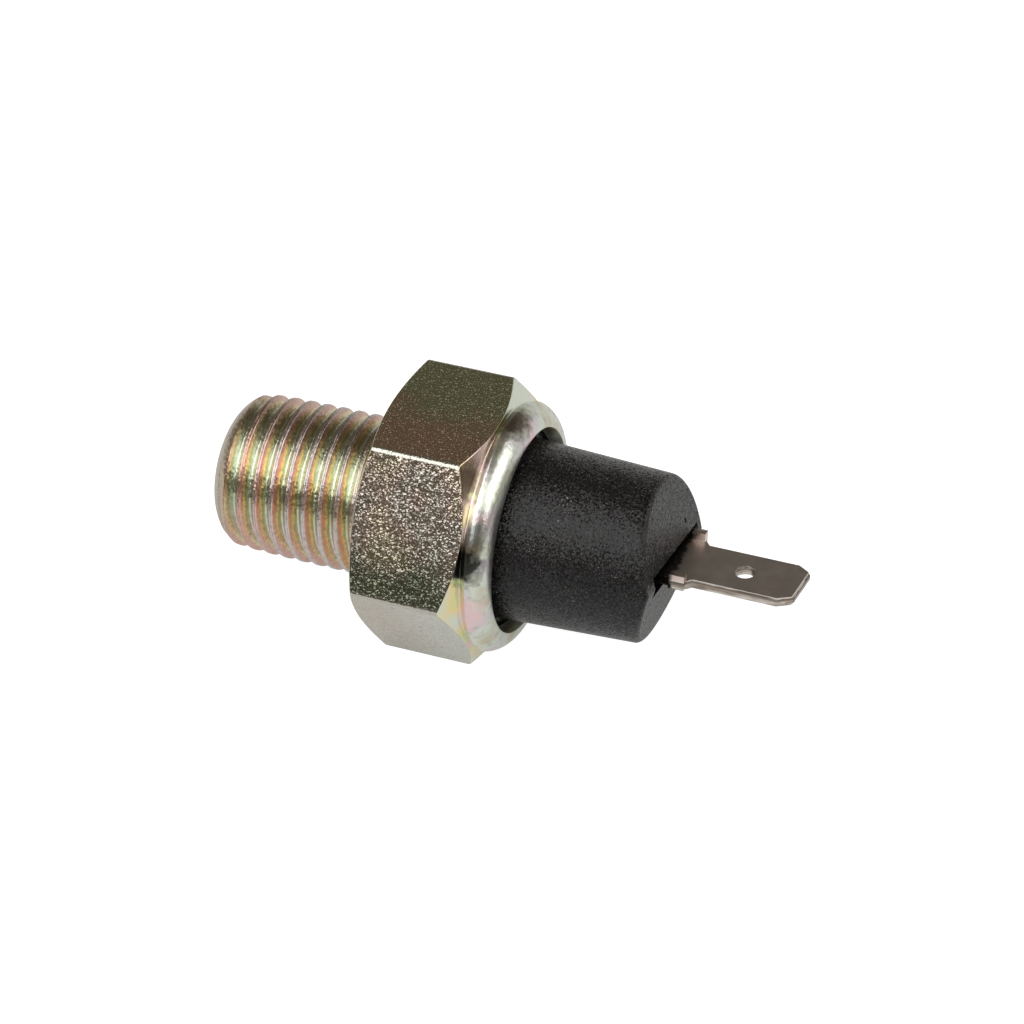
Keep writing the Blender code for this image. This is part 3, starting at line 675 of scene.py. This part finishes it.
# %% The section inside
PORT_RADIUS = 3.0
PORT_MOUTH = 0.3
PORT_END = -3.6
DRILL_POINT = math.radians(59)
RESTRICTOR_RADIUS = 0.8
CHAMBER_FLOOR = 0.6
CHAMBER_RADIUS = 6.0
SHELF_STATION = 1.0
ROOM_RADIUS = 9.55
MOUTH_ROUNDING = 0.05
drill_end = PORT_END + (PORT_RADIUS - RESTRICTOR_RADIUS) / math.tan(DRILL_POINT)
inner_section = rounded(
    [
        (TIP_STATION, TIP_RADIUS, 0.0),
        (TIP_STATION, PORT_RADIUS + PORT_MOUTH, MOUTH_ROUNDING),
        (TIP_STATION + PORT_MOUTH, PORT_RADIUS, MOUTH_ROUNDING),
        (PORT_END, PORT_RADIUS, 0.0),
        (drill_end, RESTRICTOR_RADIUS, 0.0),
        (CHAMBER_FLOOR, RESTRICTOR_RADIUS, 0.0),
        (CHAMBER_FLOOR, CHAMBER_RADIUS, 0.0),
        (SHELF_STATION, CHAMBER_RADIUS, 0.0),
        (SHELF_STATION, ROOM_RADIUS, 0.0),
        (LIP_UNDERSIDE, ROOM_RADIUS, 0.0),
    ]
)[1:]
print("rows inside:", len(inner_section))

# %% [markdown]
# ## From the sections to a solid
#
# The angles are close together on the hexagon's corners and wider on its flats. The
# sections become a grid of quads, and the doubled vertices at the helix's seam and at
# the thread's two ends are merged. Normals are then weighted by face size, so that the
# flats stay flat in the light and only the small curves between them shade.

# %% Grid of the body
COLUMNS_PER_FLAT = 20
COLUMNS_PER_CORNER = 12
angles = []
corner_half_angle = HALF_SIXTH - FLAT_HALF_ANGLE
for side in range(6):
    flat = SIXTH * side + HALF_SIXTH
    angles += list(flat + np.linspace(-FLAT_HALF_ANGLE, FLAT_HALF_ANGLE, COLUMNS_PER_FLAT + 1)[:-1])
    corner = flat + HALF_SIXTH
    angles += list(corner + np.linspace(-corner_half_angle, corner_half_angle, COLUMNS_PER_CORNER + 1)[:-1])
angles.append(angles[0] + math.tau)

grid = []
for angle in angles:
    section = outer_section(angle) + thread_section(angle) + inner_section
    grid.append([place(p.x, p.y, angle) for p in section])
print("columns", len(grid), "rows", len(grid[0]))

# %% Mesh helpers


def grid_mesh(name, grid, row_material):
    """A closed skin from a grid of points: rows close on themselves, columns are merged."""
    columns, rows = len(grid), len(grid[0])
    faces = []
    for column in range(columns - 1):
        for row in range(rows):
            following = (row + 1) % rows
            first, second = column * rows, (column + 1) * rows
            faces.append((first + row, second + row, second + following, first + following))
    mesh = bpy.data.meshes.new(name)
    mesh.from_pydata([p for column in grid for p in column], [], faces)
    mesh.polygons.foreach_set("material_index", [row_material(i % rows) for i in range(len(faces))])
    bm = bmesh.new()
    bm.from_mesh(mesh)
    bmesh.ops.remove_doubles(bm, verts=bm.verts, dist=0.0006 * MM)
    bmesh.ops.recalc_face_normals(bm, faces=bm.faces)
    bm.to_mesh(mesh)
    bm.free()
    return mesh


def open_edges(mesh):
    """How many edges don't have two faces: none in a closed skin."""
    uses = np.zeros(len(mesh.edges), dtype=int)
    loop_edges = np.empty(len(mesh.loops), dtype=int)
    mesh.loops.foreach_get("edge_index", loop_edges)
    np.add.at(uses, loop_edges, 1)
    return int((uses != 2).sum())


def dress(name, mesh, materials, node, sharp_angle=32.0):
    """Links a piece that stands for a CAD node, smooths it and lets it ride on the housing."""
    piece = bpy.data.objects.new(name, mesh)
    scene.collection.objects.link(piece)
    for material in materials:
        mesh.materials.append(material)
    mesh.shade_smooth()
    mesh.set_sharp_from_angle(angle=math.radians(sharp_angle))
    weighted = piece.modifiers.new("weighted", "WEIGHTED_NORMAL")
    weighted.keep_sharp = True
    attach(piece, "housing")
    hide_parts(node)
    print(name, "faces", len(mesh.polygons), "open edges", open_edges(mesh))


# %% Body
# Rows are counted along the outer section: collar, far chamfer, flat, near chamfer and seat.
CORNER_ROWS = FILLET_STEPS + 1
COLLAR_ROWS = 1 + CORNER_ROWS + (CROWN_STEPS - 1) + 2 * CORNER_ROWS - 3
CHAMFER_ROWS = COLLAR_ROWS + CORNER_ROWS + len(CHAMFER_PARTS)
FLAT_ROWS = CHAMFER_ROWS + CORNER_ROWS
SEAT_ROWS = len(outer_section(0.0)) - FILLET_STEPS
LAST_ROW = len(grid[0]) - 1


def body_material(row):
    """Which zinc: the collar's, the flats', the chamfers' and seat's, or the thread's and bore's."""
    if row < COLLAR_ROWS or row == LAST_ROW:
        return 0
    if CHAMFER_ROWS <= row < FLAT_ROWS:
        return 1
    return 2 if row < SEAT_ROWS else 3


body_mesh = grid_mesh("sender_body", grid, body_material)
dress("sender_body", body_mesh, zinc, "body")

# %% [markdown]
# ## The moulded insulator
#
# The cap is moulded in black glass-filled nylon. Its barrel tapers by 2.4 degrees so that
# it leaves the mould, and it ends in a shallow roof whose ridge runs along the blade.
# The roof could be made by moving vertices, but a plane cut stays truly flat. So the solid
# is turned, the two slopes are sliced off, the rim is rounded, and the recess and the
# blade's slot are then cut with booleans. The blade and the ridge are turned 13 degrees
# from the hexagon's flat, so both are built in the blade's own directions: along, across
# and up.

# %% The blade's directions
TERMINAL_TURN = math.radians(-13)
ALONG = Vector((1.0, 0.0, 0.0))
ACROSS = Vector((0.0, math.cos(TERMINAL_TURN), math.sin(TERMINAL_TURN)))
UP = Vector((0.0, -math.sin(TERMINAL_TURN), math.cos(TERMINAL_TURN)))


def spot(station, across=0.0, up=0.0):
    """A point in metres from its station and its place in the blade's own directions."""
    on_axis = Vector(((station + AXIS_SHIFT) * MM, 0.0, AXIS_HEIGHT * MM))
    return on_axis + ACROSS * across * MM + UP * up * MM


print("up from the blade's face:", [round(v, 3) for v in UP])

# %% Solids and cuts


def turned_solid(section, steps):
    """A solid turned about the axis from a section that starts and ends on the axis."""
    bm = bmesh.new()
    circles = []
    for station, radius in section:
        count = steps if radius else 1
        circles.append([bm.verts.new(place(station, radius, math.tau * i / steps)) for i in range(count)])
    for near, far in zip(circles, circles[1:]):
        for i in range(steps):
            j = (i + 1) % steps
            corners = [near[i % len(near)], near[j % len(near)], far[j % len(far)], far[i % len(far)]]
            bm.faces.new(list(dict.fromkeys(corners)))
    bmesh.ops.recalc_face_normals(bm, faces=bm.faces)
    return bm


def slice_off(bm, point, outward):
    """Cuts away what lies beyond a plane and closes the cut."""
    bmesh.ops.bisect_plane(
        bm,
        geom=bm.verts[:] + bm.edges[:] + bm.faces[:],
        dist=0.001 * MM,
        plane_co=point,
        plane_no=outward,
        clear_outer=True,
    )
    bmesh.ops.holes_fill(bm, edges=[e for e in bm.edges if e.is_boundary])
    bmesh.ops.recalc_face_normals(bm, faces=bm.faces)


def as_object(name, bm):
    mesh = bpy.data.meshes.new(name)
    bm.to_mesh(mesh)
    bm.free()
    thing = bpy.data.objects.new(name, mesh)
    scene.collection.objects.link(thing)
    return thing


def block(name, middle, size):
    """A box in the blade's directions: middle and size as (along, across, up)."""
    bm = bmesh.new()
    bmesh.ops.create_cube(bm, size=1.0)
    for vertex in bm.verts:
        vertex.co = spot(*(vertex.co[i] * size[i] + middle[i] for i in range(3)))
    return as_object(name, bm)


def combine(piece, tool, operation):
    """Cuts or joins a piece by a tool, and deletes the tool."""
    boolean = piece.modifiers.new("boolean", "BOOLEAN")
    boolean.object = tool
    boolean.operation = operation
    boolean.solver = "EXACT"
    graph = bpy.context.evaluated_depsgraph_get()
    mesh = bpy.data.meshes.new_from_object(piece.evaluated_get(graph))
    piece.modifiers.clear()
    piece.data = mesh
    bpy.data.objects.remove(tool, do_unlink=True)


def round_edges(piece, width, segments, sharper_than, beyond=-math.inf):
    """Rounds the edges sharper than an angle in degrees, if they lie beyond a station."""
    bm = bmesh.new()
    bm.from_mesh(piece.data)
    limit = math.radians(sharper_than)
    start = (beyond + AXIS_SHIFT) * MM
    sharp = [e for e in bm.edges if e.is_manifold and e.calc_face_angle(0.0) > limit]
    chosen = [e for e in sharp if min(v.co.x for v in e.verts) > start]
    bmesh.ops.bevel(
        bm, geom=chosen, offset=width * MM, segments=segments, profile=0.5, affect="EDGES", clamp_overlap=True
    )
    bm.to_mesh(piece.data)
    bm.free()
    print(piece.name, "edges rounded:", len(chosen))


# %% The insulator's solid
FLANGE_TOP = 9.75
FLANGE_RADIUS = 9.25
FLANGE_FOOT = 5.0
SKIRT_RADIUS = 8.1
SKIRT_CEILING = 6.95
GROOVE = (9.25, 7.45)
GROOVE_RADIUS = 7.75
SPRING_ROOM = 5.0
BORE_CEILING = 14.65
RIDGE_STATION = 24.35
RIDGE_SPARE = 0.3
BARREL_RADIUS = 7.84
BARREL_ROUNDING = 0.45
DRAFT = math.tan(math.radians(2.4))
ROOF_SLOPE = math.radians(13.2)
RIM_WITHIN = 4.0
TURNED_STEPS = 128


def barrel_radius(station):
    return BARREL_RADIUS - (station - FLANGE_TOP) * DRAFT


insulator_section = [
    (RIDGE_STATION + RIDGE_SPARE, 0.0),
    (RIDGE_STATION + RIDGE_SPARE, barrel_radius(RIDGE_STATION + RIDGE_SPARE)),
    (FLANGE_TOP + 0.25, barrel_radius(FLANGE_TOP + 0.25)),
    (FLANGE_TOP + 0.07, BARREL_RADIUS + 0.08),
    (FLANGE_TOP, BARREL_RADIUS + 0.28),
    (FLANGE_TOP, FLANGE_RADIUS - 0.35),
    (FLANGE_TOP - 0.1, FLANGE_RADIUS - 0.1),
    (FLANGE_TOP - 0.35, FLANGE_RADIUS),
    (GROOVE[0], FLANGE_RADIUS),
    (GROOVE[0], GROOVE_RADIUS),
    (GROOVE[1], GROOVE_RADIUS),
    (GROOVE[1], FLANGE_RADIUS),
    (FLANGE_FOOT, FLANGE_RADIUS),
    (FLANGE_FOOT, SKIRT_RADIUS),
    (SKIRT_CEILING, SKIRT_RADIUS),
    (SKIRT_CEILING, SPRING_ROOM),
    (BORE_CEILING, SPRING_ROOM),
    (BORE_CEILING, 0.0),
]
bm = turned_solid(insulator_section, TURNED_STEPS)
for side in (1, -1):
    slope = ALONG * math.cos(ROOF_SLOPE) + UP * (side * math.sin(ROOF_SLOPE))
    slice_off(bm, spot(RIDGE_STATION), slope)
insulator = as_object("insulator_solid", bm)
round_edges(insulator, BARREL_ROUNDING, 5, 50.0, beyond=RIDGE_STATION - RIM_WITHIN)
print("insulator faces", len(insulator.data.polygons))

# %% [markdown]
# The recess is a shallow trough along the ridge, a little off centre, and the slot goes
# right through to the spring's bore. The small round mark beside the recess is left by a
# pin of the mould.

# %% The insulator's recess, slot and pin mark
RECESS = (1.8, 11.2, 1.9)
RECESS_SHIFT = 0.45
TERMINAL_SHIFT = 0.3
SLOT_ACROSS, SLOT_UP = 7.9, 1.4
SLOT_SPARE = 0.3
PIN_MARK = (RIDGE_STATION - 0.7, 3.6, 2.2)
PIN_MARK_RADIUS = 0.24
PIN_MARK_ENDS = (0.6, -0.3)

combine(insulator, block("recess", (RIDGE_STATION, RECESS_SHIFT, 0.0), RECESS), "DIFFERENCE")
slot_length = RIDGE_STATION - BORE_CEILING + 2 * SLOT_SPARE
slot_middle = (BORE_CEILING - SLOT_SPARE + slot_length / 2, TERMINAL_SHIFT, 0.0)
combine(insulator, block("slot", slot_middle, (slot_length, SLOT_ACROSS, SLOT_UP)), "DIFFERENCE")

far_end, near_end = PIN_MARK_ENDS
pin_section = [(far_end, 0.0), (far_end, PIN_MARK_RADIUS), (near_end, PIN_MARK_RADIUS), (near_end, 0.0)]
pin = turned_solid(pin_section, 20)
bmesh.ops.translate(pin, verts=pin.verts, vec=spot(*PIN_MARK) - spot(0.0))
combine(insulator, as_object("pin", pin), "DIFFERENCE")
print("insulator faces", len(insulator.data.polygons))

# %% [markdown]
# ## Black nylon
#
# Glass-filled nylon comes out of a spark-eroded mould with a fine matt grain. Its peaks
# are rubbed a little paler than its pits, and it carries pale dust in patches. Roughness
# alone would give a smooth soft highlight, so small leaning facets, as on the hexagon,
# break up its edge into pebbles.

# %% Nylon
NYLON_PIT = (0.002, 0.0018, 0.002)
NYLON_BLACK = (0.006, 0.0057, 0.006)
NYLON_PEAK = (0.032, 0.030, 0.031)
DUST = (0.30, 0.27, 0.25)
NYLON_GRAIN = 8.5
NYLON_LEAN = 0.44


def nylon_finish():
    finish = Finish("black_nylon", Roughness=0.27, Specular_IOR_Level=0.36)
    color = finish.mix(finish.drift(0.5, 0.0, 1.0), NYLON_PIT, NYLON_BLACK)
    peaks = finish.span(finish.noise(5.5, detail=1.0), 0.5, 0.68)
    color = finish.mix(peaks, color, NYLON_PEAK)
    specks = finish.span(finish.noise(6.5, detail=1.0), 0.69, 0.74)
    patches = finish.span(finish.noise(0.45), 0.45, 0.62)
    color = finish.mix(finish.math("MULTIPLY", specks, patches), color, DUST)
    normal = finish.bump(finish.noise(3.6), 0.06, facets(finish, NYLON_GRAIN, NYLON_LEAN))
    return finish.wire(Base_Color=color, Normal=normal)


dress("sender_insulator", insulator.data, [nylon_finish()], "insulator")
bpy.data.objects.remove(insulator, do_unlink=True)

# %% [markdown]
# ## The stamped terminal
#
# The terminal is punched from 0.8 mm brass strip and tinned. Its two faces are dull, but
# its cut edges are bright, because the punch sheared them after the strip had darkened.
# It could be a box with its hole and corners cut by booleans, but a flat curve draws the
# outline with the hole in it at once, as the punch does, and is then extruded. The far
# shoulder of the strip starts a little earlier than the near one.

# %% The terminal's strip
BLADE_TIP = 35.4
BLADE_THICKNESS = 0.8
BLADE_HALF = 3.15
FOOT_STATION = 12.85
FOOT_TOP = 14.35
FOOT_HALF = 4.2
NECK_END = RIDGE_STATION + 2.0
FAR_NECK_SHORTER = 0.6
NECK_HALF = 3.65
NECK_FILLET = 0.5
NECK_STEPS = 8
TIP_CHAMFER = (1.25, 0.95)
HOLE_STATION = BLADE_TIP - 5.0
HOLE_HALF = (0.85, 1.1)
HOLE_STEPS = 40


def strip_edge(neck_end):
    """A long edge of the strip: the foot, the neck, the shoulder and the blade to its tip."""
    points = [(FOOT_STATION, FOOT_HALF), (FOOT_TOP, FOOT_HALF), (FOOT_TOP, NECK_HALF)]
    for step in range(NECK_STEPS + 1):
        share = step / NECK_STEPS
        blend = (1 - math.cos(math.pi * share)) / 2
        points.append((neck_end + NECK_FILLET * share, NECK_HALF + (BLADE_HALF - NECK_HALF) * blend))
    return points + [(BLADE_TIP - TIP_CHAMFER[0], BLADE_HALF), (BLADE_TIP, BLADE_HALF - TIP_CHAMFER[1])]


near_edge = [(along, -across) for along, across in strip_edge(NECK_END)]
outline = strip_edge(NECK_END - FAR_NECK_SHORTER) + near_edge[::-1]
hole = []
for step in range(HOLE_STEPS):
    turn = math.tau * step / HOLE_STEPS
    hole.append((HOLE_STATION + HOLE_HALF[0] * math.cos(turn), HOLE_HALF[1] * math.sin(turn)))

curve = bpy.data.curves.new("strip", "CURVE")
curve.dimensions = "2D"
curve.fill_mode = "BOTH"
curve.extrude = BLADE_THICKNESS / 2
for loop in (outline, hole):
    spline = curve.splines.new("POLY")
    spline.points.add(len(loop) - 1)
    for point, (along, across) in zip(spline.points, loop):
        point.co = (along, across, 0.0, 1.0)
    spline.use_cyclic_u = True
drawing = bpy.data.objects.new("strip", curve)
scene.collection.objects.link(drawing)
strip = bpy.data.meshes.new_from_object(drawing.evaluated_get(bpy.context.evaluated_depsgraph_get()))
bpy.data.objects.remove(drawing, do_unlink=True)
print("strip faces", len(strip.polygons), "points in its outline", len(outline))

# %% [markdown]
# The strip is moved to its place. Two slices at 45 degrees, one for each face of the
# blade, give the tip its lead. The ears are short blocks on the strip's edges. They reach
# a little below the strip, because a union of solids that share a face leaves stray
# edges there, and one more slice then makes the underside flat.

# %% The terminal's tip and ears
TIP_BEVEL = 0.22
EAR_THICKNESS = 0.8
EAR_DROP = BLADE_THICKNESS / 2 + 0.2
# Each ear: its start beyond the ridge, its place across, its length and its height.
EARS = [(0.1, NECK_HALF + 0.3, 1.15, 1.14), (0.6, -NECK_HALF, 1.38, 0.9)]
STAMPED_ROUNDING = 0.06

bm = bmesh.new()
bm.from_mesh(strip)
bmesh.ops.remove_doubles(bm, verts=bm.verts, dist=0.001)
for vertex in bm.verts:
    along, across, up = vertex.co
    vertex.co = spot(along, across + TERMINAL_SHIFT, up)
bmesh.ops.recalc_face_normals(bm, faces=bm.faces)
for side in (1, -1):
    slice_off(bm, spot(BLADE_TIP - TIP_BEVEL, 0.0, side * BLADE_THICKNESS / 2), ALONG + UP * side)
terminal = as_object("terminal_solid", bm)

for start, across, length, height in EARS:
    middle = (RIDGE_STATION + start + length / 2, TERMINAL_SHIFT + across, (height - EAR_DROP) / 2)
    combine(terminal, block("ear", middle, (length, EAR_THICKNESS, height + EAR_DROP)), "UNION")
bm = bmesh.new()
bm.from_mesh(terminal.data)
slice_off(bm, spot(0.0, 0.0, -BLADE_THICKNESS / 2), -UP)
bmesh.ops.remove_doubles(bm, verts=bm.verts, dist=0.001 * MM)
bmesh.ops.dissolve_limit(bm, angle_limit=math.radians(1.0), verts=bm.verts, edges=bm.edges)
bm.to_mesh(terminal.data)
bm.free()
round_edges(terminal, STAMPED_ROUNDING, 2, 35.0)
print("terminal faces", len(terminal.data.polygons))

# %% [markdown]
# ## Tinned brass
#
# The faces have the dull grey-brown of old tin, with fine rolling marks along the strip.
# The cut edges are polished by the punch and streaked across their thickness: a dark
# torn band, then the bright burr under the upper face. The ears that stand above it are
# rosy, and where the strip leaves the recess all of it is darkened by soot and by a painted
# shadow of the recess, which runs further out on the near edge. One finish with a mask
# could hold both surfaces, but two finishes are easier to read, and each polygon takes
# one by the way it faces.

# %% Soot and painted shadow at the blade's root
# Soot and painted shadow: the strip is darkened nearly to black where it leaves the recess.
SOOT_AND_SHADOW = (0.01, 0.009, 0.008)
SOOT_AND_SHADOW_FAR, SOOT_AND_SHADOW_NEAR = 0.05, 0.85


def sooted_and_shaded(finish, color):
    x, y, z = finish.split(finish.spot)
    root = RIDGE_STATION + AXIS_SHIFT
    edge = finish.span(y, 3.6, -3.3, root + SOOT_AND_SHADOW_FAR, root + SOOT_AND_SHADOW_NEAR)
    ragged = finish.math("ADD", edge, finish.drift(1.3, -0.22, 0.22, detail=4.0))
    cover = finish.span(finish.math("SUBTRACT", x, ragged), 0.22, -0.12)
    flakes = finish.span(finish.noise(3.4, detail=3.0), 0.5, 0.62, 1.0, 0.82)
    return finish.mix(finish.math("MULTIPLY", cover, flakes), color, SOOT_AND_SHADOW)


# %% Tin on the faces
TIN_DARK = (0.25, 0.215, 0.185)
TIN_DULL = (0.275, 0.235, 0.205)
TIN_PALE = (0.31, 0.27, 0.235)


def tin_face():
    finish = Finish("tin_face", Metallic=1.0, Roughness=0.42)
    cloud = finish.noise(0.6, detail=4.0)
    color = sooted_and_shaded(finish, finish.ramp(cloud, (0.3, TIN_DARK), (0.5, TIN_DULL), (0.7, TIN_PALE)))
    rolling = finish.bump(finish.noise(7.0, detail=3.0, vector=finish.stretch(0.15, 1.0, 1.0)), 0.003)
    return finish.wire(Base_Color=color, Normal=finish.bump(finish.noise(8.0), 0.006, rolling))


# %% Tin on the cut edges
STREAK_DARK = (0.30, 0.25, 0.21)
STREAK_MIDDLE = (0.5, 0.44, 0.39)
STREAK_BRIGHT = (0.8, 0.75, 0.69)
TORN_BROWN = (0.16, 0.12, 0.09)
BURR_BRIGHT = (0.95, 0.91, 0.86)
EAR_ROSE = (0.92, 0.74, 0.68)


def tin_edge():
    finish = Finish("tin_edge", Metallic=1.0, Roughness=0.3)
    streaks = finish.noise(1.6, detail=3.0, roughness=0.6, vector=finish.stretch(0.3, 0.6, 2.4))
    color = finish.ramp(streaks, (0.36, STREAK_DARK), (0.5, STREAK_MIDDLE), (0.64, STREAK_BRIGHT))
    from_axis = finish.vector("SUBTRACT", finish.spot, (0.0, 0.0, AXIS_HEIGHT))
    up = finish.vector("DOT_PRODUCT", from_axis, UP, output=1)
    ragged = finish.math("ADD", up, finish.span(streaks, 0.3, 0.7, -0.12, 0.12))
    torn_from = finish.span(ragged, 0.02, 0.10, 0.0, 0.75)
    torn_to = finish.span(ragged, 0.30, 0.22)
    color = finish.mix(finish.math("MULTIPLY", torn_from, torn_to), color, TORN_BROWN)
    color = finish.mix(finish.span(up, 0.31, 0.36), color, BURR_BRIGHT)
    color = finish.mix(finish.span(up, 0.42, 0.50), color, EAR_ROSE)
    return finish.wire(Base_Color=sooted_and_shaded(finish, color), Normal=finish.bump(streaks, 0.002))


for polygon in terminal.data.polygons:
    polygon.material_index = 0 if abs(polygon.normal.dot(UP)) > 0.75 else 1
dress("sender_terminal", terminal.data, [tin_face(), tin_edge()], "terminal")
bpy.data.objects.remove(terminal, do_unlink=True)

# %% [markdown]
# ## The pieces inside
#
# They could be modelled anew, but the collar hides them, so they keep the CAD model's
# shapes, and each gets the finish that such a piece has: drawn steel, pressed brass, a
# thin amber film, natural nylon and black rubber.

# %% Finishes of the inner pieces


def metal_finish(name, dark, bright, roughness, marks_scale):
    finish = Finish(name, Metallic=1.0, Roughness=roughness)
    color = finish.ramp(finish.noise(0.7, detail=4.0), (0.35, dark), (0.65, bright))
    marks = finish.noise(marks_scale, vector=rings(finish))
    return finish.wire(Base_Color=color, Normal=finish.bump(marks, 0.01))


def plastic_finish(name, dark, bright, roughness, grain_scale, grain_height):
    finish = Finish(name, Roughness=roughness)
    color = finish.ramp(finish.noise(0.4, detail=3.0), (0.35, dark), (0.65, bright))
    return finish.wire(Base_Color=color, Normal=finish.bump(finish.noise(grain_scale), grain_height))


steel = metal_finish("drawn_steel", (0.50, 0.50, 0.49), (0.66, 0.66, 0.65), 0.26, 10.0)
brass = metal_finish("pressed_brass", (0.70, 0.53, 0.24), (0.80, 0.64, 0.34), 0.28, 8.0)
film = plastic_finish("amber_film", (0.60, 0.27, 0.03), (0.72, 0.36, 0.06), 0.22, 3.0, 0.004)
natural = plastic_finish("natural_nylon", (0.74, 0.71, 0.62), (0.82, 0.80, 0.73), 0.5, 8.0, 0.01)
rubber = plastic_finish("black_rubber", (0.012, 0.012, 0.012), (0.022, 0.022, 0.022), 0.6, 9.0, 0.01)
inner = {
    "clamp_ring": steel,
    "spring": steel,
    "contact_ring": brass,
    "contact_disc": brass,
    "spring_seat": brass,
    "diaphragm": film,
    "push_pin": natural,
    "sealing_ring": rubber,
}
for name, material in inner.items():
    for material_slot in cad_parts[name].material_slots:
        material_slot.material = material
print("inner finishes", len(inner))

# %% [markdown]
# Two of them change shape when oil pressure lifts the contact by half a millimetre: the
# spring is squeezed against its seat, and the film's crown is pushed after the pin. Each
# is copied from the CAD model with its finish, and the CAD piece is hidden. The table
# gives for each the body it would follow up to one place in X, the body beyond the other
# place and a finish name, but the copies are not bent or attached to either body.

# %% Spring and film
FOLLOW = {
    "spring": ("contact", -2.9, "housing", 1.4, "bright_steel"),
    "diaphragm": ("housing", -8.4, "contact", -7.65, "amber_film"),
}
for name, (first_body, start, second_body, end, finish_slot) in FOLLOW.items():
    piece = bpy.data.objects.new("sender_" + name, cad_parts[name].data.copy())
    scene.collection.objects.link(piece)
    piece.data.materials.clear()
    piece.data.materials.append(inner[name])
    start, end = ((x * MM, 0.0, AXIS_HEIGHT * MM) for x in (start, end))
    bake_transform(piece)
    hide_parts(name)
    print(piece.name, "faces", len(piece.data.polygons))

# %% [markdown]
# ## Floor
#
# The part lies on a white sweep. The photograph's ground is pure white, which plain paper
# reaches only under far more light. So the paper glows where the camera sees it, and
# lights the part from below no more than grey paper under a lamp would.

# %% Floor
SWEEP_FRONT = -0.15
SWEEP_BACK = 1.2
SWEEP_HALF_WIDTH = 0.9
SWEEP_GREY = 0.36
SWEEP_GLOW = 0.36
SWEEP_SEEN_GLOW = 0.95
floor_mesh = bpy.data.meshes.new("floor")
corners = [
    (-SWEEP_HALF_WIDTH, SWEEP_FRONT, 0.0),
    (SWEEP_HALF_WIDTH, SWEEP_FRONT, 0.0),
    (SWEEP_HALF_WIDTH, SWEEP_BACK, 0.0),
    (-SWEEP_HALF_WIDTH, SWEEP_BACK, 0.0),
]
floor_mesh.from_pydata(corners, [], [(0, 1, 2, 3)])
floor = bpy.data.objects.new("floor", floor_mesh)
scene.collection.objects.link(floor)
paper = Finish("white_sweep", Roughness=0.9)
paper.shader.inputs["Emission Color"].default_value = (1.0, 1.0, 1.0, 1.0)
shade = paper.ramp(paper.noise(2.0), (0.3, (SWEEP_GREY,) * 3), (0.7, (SWEEP_GREY + 0.02,) * 3))
seen = paper.add("ShaderNodeLightPath", output="Is Camera Ray")
glow = paper.span(seen, 0.0, 1.0, SWEEP_GLOW, SWEEP_SEEN_GLOW)
floor_mesh.materials.append(paper.wire(Base_Color=shade, Emission_Strength=glow))
floor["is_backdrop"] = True
print("sweep, m:", 2 * SWEEP_HALF_WIDTH, "by", round(SWEEP_BACK - SWEEP_FRONT, 2))

# %% [markdown]
# ## Light
#
# A large soft lamp hangs in front and above, a smaller panel of the same brightness
# stands on the right, and the white wall behind is lit. What is dark is as telling as
# what is bright: the studio above and behind the part, and the strip below the lamp's
# edge, give the metal its dark bands. A studio image could light the part too, but a few
# panels can be placed one by one. Each lamp is placed by its azimuth, from 0 in front to
# 90 on the right, its elevation in degrees, its distance and size in metres and the
# radiance of its face.

# %% Light
LAMPS = {
    "key": (-22.0, 56.0, 0.45, (0.75, 0.47), 1.8),
    "right_panel": (95.0, 36.0, 0.5, (0.52, 0.33), 1.8),
    "left_fill": (-80.0, 35.0, 0.7, (0.5, 0.5), 0.6),
    "back_wall": (165.0, 11.0, 0.9, (2.2, 0.38), 0.38),
}
STUDIO_BROWN = (0.125, 0.105, 0.08)

for name, (azimuth, elevation, distance, size, radiance) in LAMPS.items():
    data = bpy.data.lights.new(name, "AREA")
    data.shape = "RECTANGLE"
    data.size, data.size_y = size
    data.energy = radiance * math.pi * size[0] * size[1]
    panel = bpy.data.objects.new(name, data)
    scene.collection.objects.link(panel)
    azimuth, elevation = math.radians(azimuth), math.radians(elevation)
    level = math.cos(elevation)
    toward = Vector((math.sin(azimuth) * level, -math.cos(azimuth) * level, math.sin(elevation)))
    panel.location = toward * distance + PART_MIDDLE
    panel.rotation_euler = toward.to_track_quat("Z", "Y").to_euler()
    panel.visible_camera = False

world = bpy.data.worlds.new("studio")
scene.world = world
world.use_nodes = True
world.node_tree.nodes["Background"].inputs["Color"].default_value = (*STUDIO_BROWN, 1.0)
scene.view_settings.view_transform = "Standard"
print("lamps", len(LAMPS))

# %% [markdown]
# ## Sizes, and the end
#
# Both boxes are printed, the CAD model's and the visual model's, so that they can be
# compared. The visual model must stay inside the CAD model's box.

# %% Sizes
visual_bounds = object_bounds()
for label, (lowest, highest) in (("CAD", cad_bounds), ("visual", visual_bounds)):
    print(label, "box, mm:", [round((b - a) / MM, 2) for a, b in zip(lowest, highest)])
